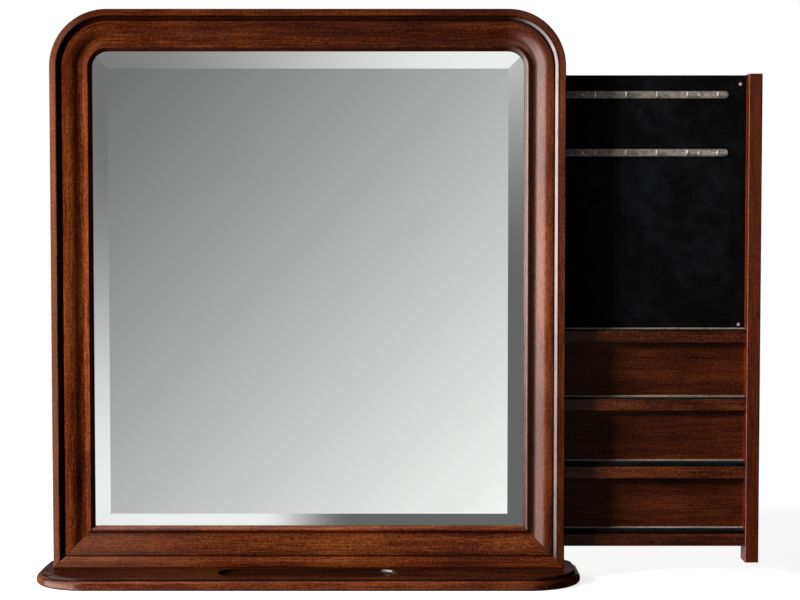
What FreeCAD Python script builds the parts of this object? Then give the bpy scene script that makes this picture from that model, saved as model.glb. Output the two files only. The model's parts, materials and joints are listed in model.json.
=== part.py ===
import FreeCAD, Part

import math
import os
import re

import Sketcher

# A dresser mirror with a moulded frame on a base board. A jewellery panel slides out of the right side of
# the shallow case behind the frame, and the model shows it pulled out.
#
# +X is to the right, +Y to the back and +Z up. The origin is on the underside of the base board, midway
# between its ends, below the front of the frame. All sizes are in millimetres.

SIZES = {
    # Moulded frame. Widths run inwards from its outer edge, depths run back from its front.
    "frame_width": "1030",
    "frame_height": "1120",
    "frame_corner_radius": "115",
    "moulding_width": "82",
    "arris_radius": "1.5",
    "band_width": "12.5",
    "step_radius": "2.5",
    "splay_width": "7.5",
    "splay_drop": "4.3",
    "quirk_width": "1.5",
    "quirk_drop": "1.5",
    "quirk_step": "2.3",
    "hump_width": "27",
    "hump_radius": "35.4",
    "hump_fall": "5.5",
    "cove_radius": "21.2",
    "valley_inset": "19",
    "valley_depth": "15.2",
    "rise_radius": "10.9",
    "lip_depth": "9",
    "lip_radius": "3",
    "lip_turn_width": "2.1",
    "lip_turn_depth": "0.86",
    "lip_slope_width": "7.5",
    "lip_slope_depth": "7",
    "lip_wall": "1",
    "rabbet_width": "14",
    # Glass and what holds it
    "glass_side_gap": "7",
    "glass_top_gap": "10",
    "glass_thickness": "5",
    "bevel_width": "39",
    "bevel_drop": "3",
    "backing_thickness": "4",
    "shim_length": "40",
    "shim_spread": "250",
    "clip_length": "36",
    "clip_width": "14",
    "clip_thickness": "1.5",
    "clip_hold": "13",
    "clip_spread": "230",
    "clip_screw_bite": "8",
    # Base board
    "base_thickness": "25",
    "base_side_overhang": "31.5",
    "base_overhang": "111",
    "base_front_radius": "110",
    "base_rear_radius": "40",
    "edge_inset": "10",
    "edge_step": "6",
    "edge_top_radius": "5",
    "edge_under_radius": "5",
    "tray_length": "358",
    "tray_width": "80",
    "tray_depth": "8",
    "tray_wall": "1",
    "tray_setback": "8",
    # Case
    "case_wall": "18",
    "back_thickness": "6",
    "insert_radius": "4.5",
    "insert_bore_radius": "2.5",
    "insert_length": "16",
    "insert_spread": "300",
    # Slide-out panel, with the gaps in front of and behind it
    "panel_length": "426",
    "panel_hidden": "56",
    "end_board_thickness": "27",
    "end_board_gap": "2",
    "end_board_back_gap": "1.2",
    "end_board_drop": "11",
    "end_board_groove": "8",
    "floor_gap": "5",
    "head_gap": "2",
    "inner_gap": "2",
    "shelf_setback": "7",
    "pocket_depth": "23",
    "facing_thickness": "3",
    "panel_thickness": "5",
    "panel_top_drop": "1",
    "panel_bottom_rise": "32.5",
    "cheek_thickness": "6",
    "shelf_height": "24",
    "shelf_pitch": "138.2",
    "liner_thickness": "3",
    "pad_thickness": "10",
    "bead_radius": "2.5",
    # Hook strips
    "strip_length": "353",
    "strip_width": "14.5",
    "strip_thickness": "1.5",
    "strip_drop": "39.3",
    "strip_spacing": "117",
    "strip_screw_spread": "118",
    "hook_pitch": "61.8",
    "hook_wire_radius": "1.5",
    "hook_bend_radius": "2.5",
    "hook_reach": "8",
    "hook_rise": "4",
    "hook_sink": "2.5",
    # Telescopic slides
    "slide_thickness": "12.7",
    "slide_height": "45",
    "slide_inset": "8",
    "slide_end_gap": "18",
    "slide_margin": "90",
    "slide_gauge": "1.2",
    "slide_web_gap": "1.3",
    "slide_flange_gap": "2",
    "ball_radius": "1.55",
    "ball_gap": "0.3",
    "cage_gauge": "0.7",
    "cage_end_gap": "11.5",
    "cage_margin": "20",
    # Fasteners, with the share of a board's thickness that their ends reach into
    "board_bite": "0.8",
    "dowel_margin": "90",
    "screw_margin": "45",
    "dowel_radius": "4",
    "dowel_length": "40",
    "mitre_dowel_length": "30",
    "case_dowel_length": "32",
    "case_dowel_bite": "12",
    "small_screw_radius": "1.5",
    "small_head_radius": "2.7",
    "panel_screw_inset": "12",
    "panel_screw_drop": "18",
    "board_screw_radius": "2",
    "board_head_radius": "4",
    "base_screw_radius": "2.5",
    "base_head_radius": "5",
    "pan_head_radius": "3.3",
    "pan_head_height": "1.4",
    # How far saw cuts run past the wood
    "saw_margin": "20",
}

# Places that follow from the sizes above
PLACES = {
    "frame_right": "=frame_width / 2",
    "frame_bottom": "=base_thickness",
    "frame_top": "=frame_bottom + frame_height",
    "corner_x": "=frame_right - frame_corner_radius",
    "corner_z": "=frame_top - frame_corner_radius",
    "step_end": "=band_width + step_radius",
    "splay_end": "=step_end + splay_width",
    "splay_depth": "=step_radius + splay_drop",
    "quirk_depth": "=splay_depth + quirk_drop",
    "hump_start": "=splay_end + quirk_width",
    "hump_end": "=hump_start + hump_width",
    "hump_start_depth": "=quirk_depth - quirk_step",
    "hump_end_depth": "=hump_start_depth + hump_fall",
    "valley_at": "=moulding_width - valley_inset",
    "lip_crest": "=moulding_width - lip_slope_width",
    "lip_side_depth": "=lip_depth + lip_turn_depth",
    "lip_foot_depth": "=lip_depth + lip_slope_depth",
    "rabbet_at": "=moulding_width - rabbet_width",
    "rabbet_right": "=frame_right - rabbet_at",
    "rabbet_top": "=frame_top - rabbet_at",
    "glass_right": "=rabbet_right - glass_side_gap",
    "glass_front": "=lip_foot_depth + lip_wall",
    "glass_back": "=glass_front + glass_thickness",
    "frame_thickness": "=glass_back + backing_thickness",
    "bevel_back": "=glass_front + bevel_drop",
    "glass_bottom": "=frame_bottom + rabbet_at",
    "glass_top": "=rabbet_top - glass_top_gap",
    "glass_middle": "=(glass_bottom + glass_top) / 2",
    "clip_back": "=frame_thickness + clip_thickness",
    "end_board_front": "=frame_thickness + end_board_gap",
    "shelf_front": "=end_board_front + shelf_setback",
    "facing_front": "=shelf_front + pocket_depth",
    "panel_front": "=facing_front + facing_thickness",
    "panel_back": "=panel_front + panel_thickness",
    "back_front": "=panel_back + slide_thickness",
    "back_rear": "=back_front + back_thickness",
    "case_depth": "=back_front - frame_thickness",
    "end_board_rear": "=back_front - end_board_back_gap",
    "panel_left": "=frame_right - panel_hidden",
    "panel_middle": "=panel_left + panel_length / 2",
    "end_board_left": "=panel_left + panel_length",
    "end_board_right": "=end_board_left + end_board_thickness",
    "slide_travel": "=end_board_right - frame_right",
    "end_board_bottom": "=base_thickness + floor_gap",
    "end_board_top": "=corner_z - end_board_drop",
    "case_bottom_right": "=frame_right - end_board_thickness - inner_gap",
    "panel_top": "=end_board_top - panel_top_drop",
    "panel_bottom": "=end_board_bottom + panel_bottom_rise",
    "pocket_left": "=panel_left + cheek_thickness",
    "felt_bottom": "=panel_bottom + 3 * shelf_pitch + shelf_height",
    "strip_front": "=facing_front - strip_thickness",
    "upper_strip": "=panel_top - strip_drop",
    "lower_strip": "=upper_strip - strip_spacing",
    "upper_slide": "=panel_top - slide_margin",
    "lower_slide": "=panel_bottom + slide_margin",
    "slide_length": "=panel_length - slide_inset - slide_end_gap",
    "inner_left": "=panel_left + slide_inset",
    "outer_left": "=inner_left - slide_travel",
    "middle_left": "=(inner_left + outer_left) / 2",
    "cage_length": "=slide_length - slide_travel / 2 - cage_end_gap",
    "outer_cage_left": "=(middle_left + outer_left + slide_length - cage_length) / 2",
    "inner_cage_left": "=(inner_left + middle_left + slide_length - cage_length) / 2",
    "race": "=2 * (ball_radius + ball_gap)",
    "outer_half": "=slide_height / 2",
    "middle_half": "=outer_half - slide_gauge - race",
    "inner_half": "=middle_half - slide_gauge - race",
    "flange_front": "=panel_back + slide_flange_gap",
    "outer_web": "=back_front - slide_gauge",
    "middle_web_back": "=outer_web - slide_web_gap",
    "middle_web_front": "=middle_web_back - slide_gauge",
    "inner_flange_back": "=middle_web_front - slide_web_gap",
    "ball_line": "=(flange_front + inner_flange_back) / 2",
    "base_right": "=frame_right + base_side_overhang",
    "tray_cove": "=tray_depth - tray_wall",
    "tray_half": "=tray_width / 2",
    "strip_half": "=strip_width / 2",
}

SHELF_COUNT = 4
HOOK_COUNT = 6
BALL_COUNT = 6

doc = FreeCAD.newDocument("storage_mirror")
sheet = doc.addObject("Spreadsheet::Sheet", "Sizes")
for row, (name, content) in enumerate({**SIZES, **PLACES}.items(), start=1):
    sheet.set(f"A{row}", name)
    sheet.set(f"B{row}", content)
    sheet.setAlias(f"B{row}", name)
doc.recompute()

sub_parts = []


# Helpers that tie shapes to the sheet

def cells(words):
    """Point each size named in an expression at its cell in the sheet."""
    def cell(found):
        word = found.group()
        return f"Sizes.{word}" if word in SIZES or word in PLACES else word
    return re.sub(r"[a-z_]+", cell, words)


def number(words):
    """The present value of an expression."""
    return float(sheet.evalExpression(cells(words)))


def bind(thing, **sizes):
    """Tie properties of an object to expressions on the sheet."""
    for name, words in sizes.items():
        thing.setExpression(name, cells(words))
    return thing


def place(thing, x="0", y="0", z="0", turn=FreeCAD.Rotation()):
    """Turn an object and tie its position to expressions on the sheet."""
    thing.Placement = FreeCAD.Placement(FreeCAD.Vector(), turn)
    for axis, words in zip("xyz", (x, y, z)):
        thing.setExpression(f"Placement.Base.{axis}", cells(words))
    return thing


def keep(label, thing):
    """Name a finished sub-part and list it for writing."""
    thing.Label = label
    sub_parts.append(thing)
    return thing


# Helpers for straight pieces, groups and joints

def board(x, y, z):
    """A straight board between two named places along each axis."""
    box = doc.addObject("Part::Box", "board")
    bind(box, Length=f"{x[1]} - ({x[0]})", Width=f"{y[1]} - ({y[0]})", Height=f"{z[1]} - ({z[0]})")
    return place(box, x[0], y[0], z[0])


TURNS = {
    "+x": FreeCAD.Rotation(FreeCAD.Vector(0, 1, 0), 90),
    "+y": FreeCAD.Rotation(FreeCAD.Vector(1, 0, 0), -90),
    "-y": FreeCAD.Rotation(FreeCAD.Vector(1, 0, 0), 90),
    "+z": FreeCAD.Rotation(),
    "mitre": FreeCAD.Rotation(FreeCAD.Vector(0, 1, 0), 135),
}


def rod(radius, length, direction, x, y, z):
    """A round bar from a named place in one of the directions above."""
    cylinder = doc.addObject("Part::Cylinder", "rod")
    bind(cylinder, Radius=radius, Height=length)
    return place(cylinder, x, y, z, TURNS[direction])


def fuse(pieces):
    fusion = doc.addObject("Part::MultiFuse", "fusion")
    fusion.Shapes = pieces
    return fusion


def group(pieces):
    """Several solids in one object."""
    compound = doc.addObject("Part::Compound", "group")
    compound.Links = pieces
    return compound


def cut(blank, *tools):
    """The blank with the shapes of other pieces taken out of it."""
    for tool in tools:
        cutting = doc.addObject("Part::Cut", "cutting")
        cutting.Base = blank
        cutting.Tool = tool
        blank = cutting
    return blank


def mirrored(thing):
    """The same piece on the other side of the middle of the frame."""
    mirroring = doc.addObject("Part::Mirroring", "mirroring")
    mirroring.Source = thing
    mirroring.Normal = FreeCAD.Vector(1, 0, 0)
    return mirroring


def countersunk(radius, head_radius, length, direction, x, y, z):
    """A countersunk screw whose flat head lies at the named place."""
    shank = rod(radius, length, direction, x, y, z)
    head = doc.addObject("Part::Cone", "head")
    bind(head, Radius1=head_radius, Radius2=radius, Height=f"{head_radius} - {radius}")
    place(head, x, y, z, TURNS[direction])
    return fuse([shank, head])


def pan_head(length, x, y, z):
    """A pan-head screw driven backwards, with its head in front of the named place."""
    shank = rod("small_screw_radius", length, "+y", x, y, z)
    head = rod("pan_head_radius", "pan_head_height", "+y", x, f"{y} - pan_head_height", z)
    return fuse([shank, head])


def spread(first, last, count):
    """Evenly spaced places from one named place to another."""
    return [f"{first} + {step} * ({last} - ({first})) / {count - 1}" for step in range(count)]


# Helpers for sketched pieces

def new_body(label):
    return doc.addObject("PartDesign::Body", label)


def sketch(body, plane, points, lift="0"):
    """A closed outline on one of the body's own planes.

    Each point is (x, y) at the end of a straight line, or (x, y, radius, bend) at the end of an arc that is
    either round, bulging out of the piece, or hollow, cut into it.
    """
    outline = body.newObject("Sketcher::SketchObject", "outline")
    origin_plane = next(found for found in body.Origin.OriginFeatures if found.Role == plane)
    outline.AttachmentSupport = (origin_plane, [""])
    outline.MapMode = "FlatFace"
    bind(outline, **{"AttachmentOffset.Base.z": lift})
    spots = [FreeCAD.Vector(number(point[0]), number(point[1]), 0) for point in points]
    turning = sum(a.x * b.y - b.x * a.y for a, b in zip(spots, spots[1:] + spots[:1]))
    ends = []
    for index, point in enumerate(points):
        start, stop = spots[index - 1], spots[index]
        if len(point) == 2:
            outline.addGeometry(Part.LineSegment(start, stop), False)
            ends.append((1, 2))
            continue
        radius = number(point[2])
        chord = stop - start
        side = FreeCAD.Vector(-chord.y, chord.x, 0).normalize()
        sagitta = radius - math.sqrt(radius ** 2 - (chord.Length / 2) ** 2)
        leftward = (point[3] == "round") == (turning > 0)
        crown = (start + stop) / 2 - side * (sagitta if leftward else -sagitta)
        outline.addGeometry(Part.Arc(start, crown, stop) if leftward else Part.Arc(stop, crown, start), False)
        ends.append((1, 2) if leftward else (2, 1))
    for index, point in enumerate(points):
        following = (index + 1) % len(points)
        here = (index, ends[index][1])
        outline.addConstraint(Sketcher.Constraint("Coincident", *here, following, ends[following][0]))
        rules = [("DistanceX", (-1, 1, *here), point[0]), ("DistanceY", (-1, 1, *here), point[1])]
        if len(point) > 2:
            rules.append(("Radius", (index,), point[2]))
        for kind, where, words in rules:
            rule = outline.addConstraint(Sketcher.Constraint(kind, *where, number(words)))
            outline.setExpression(f"Constraints[{rule}]", cells(words))
    return outline


def pad(body, outline, length):
    feature = body.newObject("PartDesign::Pad", "pad")
    feature.Profile = outline
    return bind(feature, Length=length)


def prism(plane, points, length, x="0", y="0", z="0"):
    """A piece with the same section all along. On the XZ plane it grows towards the front."""
    body = new_body("prism")
    pad(body, sketch(body, plane, points), length)
    return place(body, x, y, z)


def rounded_rectangle(left, right, low, high, low_radius, high_radius):
    """A rectangle with one radius on its two low corners and another on its two high ones."""
    return [
        (f"{right} - {low_radius}", low),
        (right, f"{low} + {low_radius}", low_radius, "round"),
        (right, f"{high} - {high_radius}"),
        (f"{right} - {high_radius}", high, high_radius, "round"),
        (f"{left} + {high_radius}", high),
        (left, f"{high} - {high_radius}", high_radius, "round"),
        (left, f"{low} + {low_radius}"),
        (f"{left} + {low_radius}", low, low_radius, "round"),
    ]


def stadium(length, middle, radius):
    """A slot shape with half-round ends, centred on the sketch's upright axis."""
    return [
        (f"{length} / 2 - {radius}", f"{middle} - {radius}"),
        (f"{length} / 2", middle, radius, "round"),
        (f"{length} / 2 - {radius}", f"{middle} + {radius}", radius, "round"),
        (f"{radius} - {length} / 2", f"{middle} + {radius}"),
        (f"-{length} / 2", middle, radius, "round"),
        (f"{radius} - {length} / 2", f"{middle} - {radius}", radius, "round"),
    ]


def edges_at(feature, height):
    """Names of the edges that lie flat at one height."""
    level = number(height)
    flat = []
    for index, edge in enumerate(feature.Shape.Edges, start=1):
        box = edge.BoundBox
        if max(abs(box.ZMin - level), abs(box.ZMax - level)) < 0.001:
            flat.append(f"Edge{index}")
    return flat


def round_edges(body, feature, height, radius):
    doc.recompute()
    fillet = body.newObject("PartDesign::Fillet", "fillet")
    fillet.Base = (feature, edges_at(feature, height))
    return bind(fillet, Radius=radius)


# Moulded frame

def moulding(across, rabbeted=True):
    """Section of the frame moulding. The function given turns (width, depth) into sketch coordinates."""
    front = [
        ("0", "arris_radius"),
        ("arris_radius", "0", "arris_radius", "round"),
        ("band_width", "0"),
        ("step_end", "step_radius", "step_radius", "round"),
        ("splay_end", "splay_depth"),
        ("splay_end", "quirk_depth"),
        ("hump_start", "quirk_depth"),
        ("hump_start", "hump_start_depth"),
        ("hump_end", "hump_end_depth", "hump_radius", "round"),
        ("valley_at", "valley_depth", "cove_radius", "hollow"),
        ("lip_crest - lip_turn_width", "lip_side_depth", "rise_radius", "hollow"),
        ("lip_crest", "lip_depth", "lip_radius", "round"),
        ("lip_crest + lip_turn_width", "lip_side_depth", "lip_radius", "round"),
        ("moulding_width", "lip_foot_depth"),
    ]
    rabbet = [
        ("moulding_width", "glass_front"),
        ("rabbet_at", "glass_front"),
        ("rabbet_at", "frame_thickness"),
    ]
    plain_back = [("moulding_width", "frame_thickness")]
    section = front + (rabbet if rabbeted else plain_back) + [("0", "frame_thickness")]
    return [(*across(point[0], point[1]), *point[2:]) for point in section]


def mitre_waste(beyond):
    """Wood sawn off below or above the line of the lower left mitre."""
    outer = "-frame_right - saw_margin"
    low = "frame_bottom - saw_margin"
    inner = "moulding_width + saw_margin - frame_right"
    high = "frame_bottom + moulding_width + saw_margin"
    third = {"below": (inner, low), "above": (outer, high)}[beyond]
    points = [(outer, low), third, (inner, high)]
    return prism("XZ_Plane", points, "frame_thickness + 2 * saw_margin", y="frame_thickness + saw_margin")


def frame_dowel_halves():
    """Dowels of the joints on the left: two across each joint of the corner block and two in the mitre."""
    depth = "(valley_depth + frame_thickness) / 2"
    dowels = []
    for width in ("splay_end", "hump_end"):
        dowels.append(rod("dowel_radius", "dowel_length", "+z", f"{width} - frame_right", depth,
                          "corner_z - dowel_length / 2"))
        dowels.append(rod("dowel_radius", "dowel_length", "+x", "-corner_x - dowel_length / 2", depth,
                          f"frame_top - {width}"))
        half = "mitre_dowel_length / 2 * sqrt(0.5)"
        dowels.append(rod("dowel_radius", "mitre_dowel_length", "mitre", f"{width} - frame_right - {half}",
                          depth, f"frame_bottom + {width} + {half}"))
    return dowels


left_dowels = group(frame_dowel_halves())
frame_dowels = keep("frame_dowels", group([left_dowels, mirrored(left_dowels)]))

case_dowel_start = "frame_thickness - case_dowel_bite"
side_dowels = [
    rod("dowel_radius", "case_dowel_length", "+y", "case_wall / 2 - frame_right", case_dowel_start, height)
    for height in spread("frame_bottom + dowel_margin", "corner_z - dowel_margin", 3)
]
top_dowels = [
    rod("dowel_radius", "case_dowel_length", "+y", across, case_dowel_start, "frame_top - case_wall / 2")
    for across in spread("dowel_margin - corner_x", "corner_x - dowel_margin", 3)
]
case_dowels = keep("case_dowels", group(side_dowels + top_dowels))

clip_screw_places = []
clip_boards = []
clip_half = "clip_width / 2"
clip_depth = ("frame_thickness", "clip_back")
for along in ("-clip_spread", "clip_spread"):
    upright = (f"glass_middle + {along} - {clip_half}", f"glass_middle + {along} + {clip_half}")
    level = (f"{along} - {clip_half}", f"{along} + {clip_half}")
    right_reach = ("rabbet_right + clip_hold - clip_length", "rabbet_right + clip_hold")
    left_reach = ("-rabbet_right - clip_hold", "clip_length - rabbet_right - clip_hold")
    top_reach = ("rabbet_top + clip_hold - clip_length", "rabbet_top + clip_hold")
    bottom_reach = ("glass_bottom - clip_hold", "glass_bottom - clip_hold + clip_length")
    clip_boards += [
        board(right_reach, clip_depth, upright),
        board(left_reach, clip_depth, upright),
        board(level, clip_depth, top_reach),
        board(level, clip_depth, bottom_reach),
    ]
    clip_screw_places += [
        ("rabbet_right + clip_hold / 2", f"glass_middle + {along}"),
        ("-rabbet_right - clip_hold / 2", f"glass_middle + {along}"),
        (along, "rabbet_top + clip_hold / 2"),
        (along, "glass_bottom - clip_hold / 2"),
    ]
clip_screws = keep("clip_screws", group([
    countersunk("small_screw_radius", "small_head_radius", "clip_thickness + clip_screw_bite", "-y",
                x, "clip_back", z)
    for x, z in clip_screw_places
]))
keep("backing_clips", cut(group(clip_boards), clip_screws))

stile_section = moulding(lambda width, depth: (width, depth))
stile_blank = prism("XY_Plane", stile_section, "corner_z - frame_bottom", "-frame_right", "0", "frame_bottom")
mitred_stile = cut(stile_blank, mitre_waste("below"))
keep("frame_left_stile", cut(mitred_stile, frame_dowels, case_dowels, clip_screws))
keep("frame_right_stile", cut(mirrored(mitred_stile), frame_dowels, clip_screws))

top_section = moulding(lambda width, depth: (depth, f"moulding_width - ({width})"))
top_blank = prism("YZ_Plane", top_section, "2 * corner_x", "-corner_x", "0", "frame_top - moulding_width")
keep("frame_top_rail", cut(top_blank, frame_dowels, case_dowels, clip_screws))

bottom_section = moulding(lambda width, depth: (depth, width))
bottom_blank = prism("YZ_Plane", bottom_section, "frame_width", "-frame_right", "0", "frame_bottom")
rail_waste = mitre_waste("above")
keep("frame_bottom_rail", cut(bottom_blank, rail_waste, mirrored(rail_waste), frame_dowels, clip_screws))


def corner_block():
    """The right-hand curved block: the moulding turned a quarter circle, with a recess for the glass."""
    body = new_body("corner")
    section = moulding(lambda width, depth: (f"frame_corner_radius - ({width})", depth), rabbeted=False)
    outline = sketch(body, "XY_Plane", section)
    turned = body.newObject("PartDesign::Revolution", "turned")
    turned.Profile = outline
    turned.ReferenceAxis = (outline, ["V_Axis"])
    turned.Angle = 90
    turned.Reversed = True
    place(body, "corner_x", "0", "corner_z")
    recess = board(
        ("0", "rabbet_right"), ("glass_front", "frame_thickness"), ("glass_middle", "rabbet_top"))
    return cut(body, recess)


right_corner = corner_block()
keep("frame_right_corner", cut(right_corner, frame_dowels))
keep("frame_left_corner", cut(mirrored(right_corner), frame_dowels))

# Glass, its shims and its backing

bevel = doc.addObject("Part::Wedge", "bevel")
bind(
    bevel,
    Xmin="bevel_width - glass_right", Xmax="glass_right - bevel_width",
    Zmin="glass_bottom + bevel_width", Zmax="glass_top - bevel_width",
    X2min="-glass_right", X2max="glass_right",
    Z2min="glass_bottom", Z2max="glass_top",
    Ymin="glass_front", Ymax="bevel_back",
)
pane = board(("-glass_right", "glass_right"), ("bevel_back", "glass_back"), ("glass_bottom", "glass_top"))
keep("mirror_glass", fuse([bevel, pane]))
keep("mirror_backing", board(
    ("-glass_right", "glass_right"), ("glass_back", "frame_thickness"), ("glass_bottom", "glass_top")))

shims = []
for along in ("-shim_spread", "shim_spread"):
    upright = (f"glass_middle + {along} - shim_length / 2", f"glass_middle + {along} + shim_length / 2")
    level = (f"{along} - shim_length / 2", f"{along} + shim_length / 2")
    shim_depth = ("glass_front", "glass_back")
    shims.append(board(("-rabbet_right", "-glass_right"), shim_depth, upright))
    shims.append(board(("glass_right", "rabbet_right"), shim_depth, upright))
    shims.append(board(level, shim_depth, ("glass_top", "rabbet_top")))
keep("glass_shims", group(shims))

# Case behind the frame

case_span = ("frame_thickness", "back_front")
wall_line = "frame_bottom + case_wall / 2"
head_line = "frame_top - case_wall / 2"

inserts = []
for across in ("-insert_spread", "insert_spread"):
    for height in (wall_line, head_line):
        bar = rod("insert_radius", "insert_length", "-y", across, "back_rear", height)
        bore = rod("insert_bore_radius", "insert_length", "-y", across, "back_rear", height)
        inserts.append((bar, cut(bar, bore)))
insert_holes = group([bar for bar, sleeve in inserts])
keep("support_inserts", group([sleeve for bar, sleeve in inserts]))

back_screw_places = [
    ("case_wall / 2 - frame_right", height)
    for height in spread("frame_bottom + screw_margin", "corner_z - screw_margin", 5)
]
back_screw_places += [
    (across, head_line) for across in spread("screw_margin - corner_x", "corner_x - screw_margin", 4)
]
back_screw_places += [
    (across, wall_line)
    for across in spread("screw_margin - frame_right", "case_bottom_right - screw_margin", 5)
]
back_screw_length = "back_thickness + case_wall"
back_screws = keep("back_screws", group([
    countersunk("board_screw_radius", "board_head_radius", back_screw_length, "-y", x, "back_rear", z)
    for x, z in back_screw_places
]))
base_screws = keep("base_screws", group([
    countersunk("base_screw_radius", "base_head_radius", "base_thickness + board_bite * case_wall", "+z",
                across, "(frame_thickness + back_front) / 2", "0")
    for across in spread("dowel_margin - frame_right", "case_bottom_right - dowel_margin", 5)
]))

left_side = board(("-frame_right", "case_wall - frame_right"), case_span, ("frame_bottom", "corner_z"))
keep("case_left_side", cut(left_side, case_dowels, back_screws))
case_top = board(("-corner_x", "corner_x"), case_span, ("frame_top - case_wall", "frame_top"))
keep("case_top", cut(case_top, case_dowels, back_screws, insert_holes))
case_bottom = board(("case_wall - frame_right", "case_bottom_right"), case_span,
                    ("frame_bottom", "frame_bottom + case_wall"))
keep("case_bottom", cut(case_bottom, back_screws, base_screws, insert_holes))


inner_radius = "frame_corner_radius - case_wall"
bend_outline = [
    ("frame_corner_radius", "0"),
    ("0", "frame_corner_radius", "frame_corner_radius", "round"),
    ("0", inner_radius),
    (inner_radius, "0", inner_radius, "hollow"),
]
bend = prism("XZ_Plane", bend_outline, "case_depth", "corner_x", "back_front", "corner_z")
tail = board(("frame_right - case_wall", "frame_right"), case_span, ("end_board_top + head_gap", "corner_z"))
keep("case_left_corner", mirrored(bend))
keep("case_right_corner", fuse([bend, tail]))

# Telescopic slides: two sets behind the panel, seen along their length

slide_heights = {"upper": "upper_slide", "lower": "lower_slide"}


def channel(web, flange_end, half, gauge):
    """Section of a channel with its web at one depth and its flanges running to another."""
    towards_back = number(web) < number(flange_end)
    inside = f"{web} + {gauge}" if towards_back else f"{web} - {gauge}"
    return [
        (web, f"-({half})"),
        (flange_end, f"-({half})"),
        (flange_end, f"{gauge} - ({half})"),
        (inside, f"{gauge} - ({half})"),
        (inside, f"{half} - {gauge}"),
        (flange_end, f"{half} - {gauge}"),
        (flange_end, half),
        (web, half),
    ]


outer_section = channel("back_front", "flange_front", "outer_half", "slide_gauge")
middle_section = channel("middle_web_back", "flange_front", "middle_half", "slide_gauge")
inner_section = channel("panel_back", "inner_flange_back", "inner_half", "slide_gauge")

slide_screw_spots = ("slide_length / 10", "slide_length / 2", "9 * slide_length / 10")
outer_slide_screws = keep("outer_slide_screws", group([
    countersunk("small_screw_radius", "small_head_radius", "slide_gauge + board_bite * back_thickness", "+y",
                f"outer_left + {spot}", "outer_web", height)
    for height in slide_heights.values() for spot in slide_screw_spots
]))
inner_slide_screws = keep("inner_slide_screws", group([
    countersunk("small_screw_radius", "small_head_radius", "slide_gauge + board_bite * panel_thickness", "-y",
                f"inner_left + {spot}", "panel_back + slide_gauge", height)
    for height in slide_heights.values() for spot in slide_screw_spots
]))
for side, height in slide_heights.items():
    outer = prism("YZ_Plane", outer_section, "slide_length", "outer_left", "0", height)
    keep(f"{side}_outer_member", cut(outer, outer_slide_screws))
    middle = prism("YZ_Plane", middle_section, "slide_length", "middle_left", "0", height)
    keep(f"{side}_middle_member", middle)
    inner = prism("YZ_Plane", inner_section, "slide_length", "inner_left", "0", height)
    keep(f"{side}_inner_member", cut(inner, inner_slide_screws))


def ball_rows(cage_left, member_half):
    """Centres of the balls of both slides, above and below a member of the given half height."""
    first = f"{cage_left} + cage_margin"
    last = f"{cage_left} + cage_length - cage_margin"
    return [
        (x, f"{height} {sign} ({member_half} + race / 2)")
        for height in slide_heights.values() for sign in "+-" for x in spread(first, last, BALL_COUNT)
    ]


def ball(x, z):
    sphere = doc.addObject("Part::Sphere", "ball")
    bind(sphere, Radius="ball_radius")
    return place(sphere, x, "ball_line", z)


def ball_hole(x, z):
    """A hole through the cage, wider than the ball by its running gap."""
    return rod("ball_radius + ball_gap / 2", "race", "+z", x, "ball_line", f"{z} - race / 2")


def cage_section(member_half, web):
    """Section of a cage that runs midway between two members, with its web at the given depth."""
    return channel(web, "flange_front", f"({member_half} + race / 2 + cage_gauge / 2)", "cage_gauge")


for name, cage_left, half, web_room in (
    ("outer", "outer_cage_left", "middle_half", "(middle_web_back + outer_web) / 2"),
    ("inner", "inner_cage_left", "inner_half", "(inner_flange_back + middle_web_front) / 2"),
):
    rows = ball_rows(cage_left, half)
    section = cage_section(half, f"{web_room} + cage_gauge / 2")
    strips = [
        prism("YZ_Plane", section, "cage_length", cage_left, "0", height) for height in slide_heights.values()
    ]
    keep(f"{name}_ball_cages", cut(group(strips), group([ball_hole(x, z) for x, z in rows])))
    keep(f"{name}_balls", group([ball(x, z) for x, z in rows]))

back_outline = rounded_rectangle("-frame_right", "frame_right", "frame_bottom", "frame_top",
                                 "arris_radius", "frame_corner_radius")
back_blank = prism("XZ_Plane", back_outline, "back_thickness", y="back_rear")
keep("case_back", cut(back_blank, back_screws, insert_holes, outer_slide_screws))

# Base board with an edge moulded in two rounds, sawn flat at the back, and a coved tray in its top


def base_outline(inset):
    return rounded_rectangle(
        f"{inset} - base_right", f"base_right - {inset}",
        f"{inset} - base_overhang", f"back_rear + 2 * edge_inset - {inset}",
        f"(base_front_radius - {inset})", f"(base_rear_radius - {inset})",
    )


base_body = new_body("base")
slab = pad(base_body, sketch(base_body, "XY_Plane", base_outline("0")), "base_thickness - edge_step")
thumb = round_edges(base_body, slab, "base_thickness - edge_step", "edge_inset")
round_edges(base_body, thumb, "0", "edge_under_radius")
deck = pad(base_body, sketch(base_body, "XY_Plane", base_outline("edge_inset")), "base_thickness")
round_edges(base_body, deck, "base_thickness", "edge_top_radius")
tray_outline = stadium("tray_length", "-tray_setback - tray_half", "tray_half")
tray = base_body.newObject("PartDesign::Pocket", "tray")
tray.Profile = sketch(base_body, "XY_Plane", tray_outline, "base_thickness")
bind(tray, Length="tray_depth")
round_edges(base_body, tray, "base_thickness - tray_depth", "tray_cove")
rear_waste = board(("-base_right - saw_margin", "base_right + saw_margin"),
                   ("back_rear", "back_rear + edge_inset + saw_margin"), ("0", "base_thickness"))
keep("base_board", cut(base_body, rear_waste, base_screws))

# Slide-out panel

panel_span = ("panel_left", "end_board_left")
facing = ("facing_front", "panel_front")
shelf_span = ("shelf_front", "panel_front")


def shelf_bottom(index):
    """Underside of a shelf, counted up from the lowest."""
    return f"panel_bottom + {index} * shelf_pitch"


def shelf_top(index):
    return f"{shelf_bottom(index)} + shelf_height"


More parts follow.
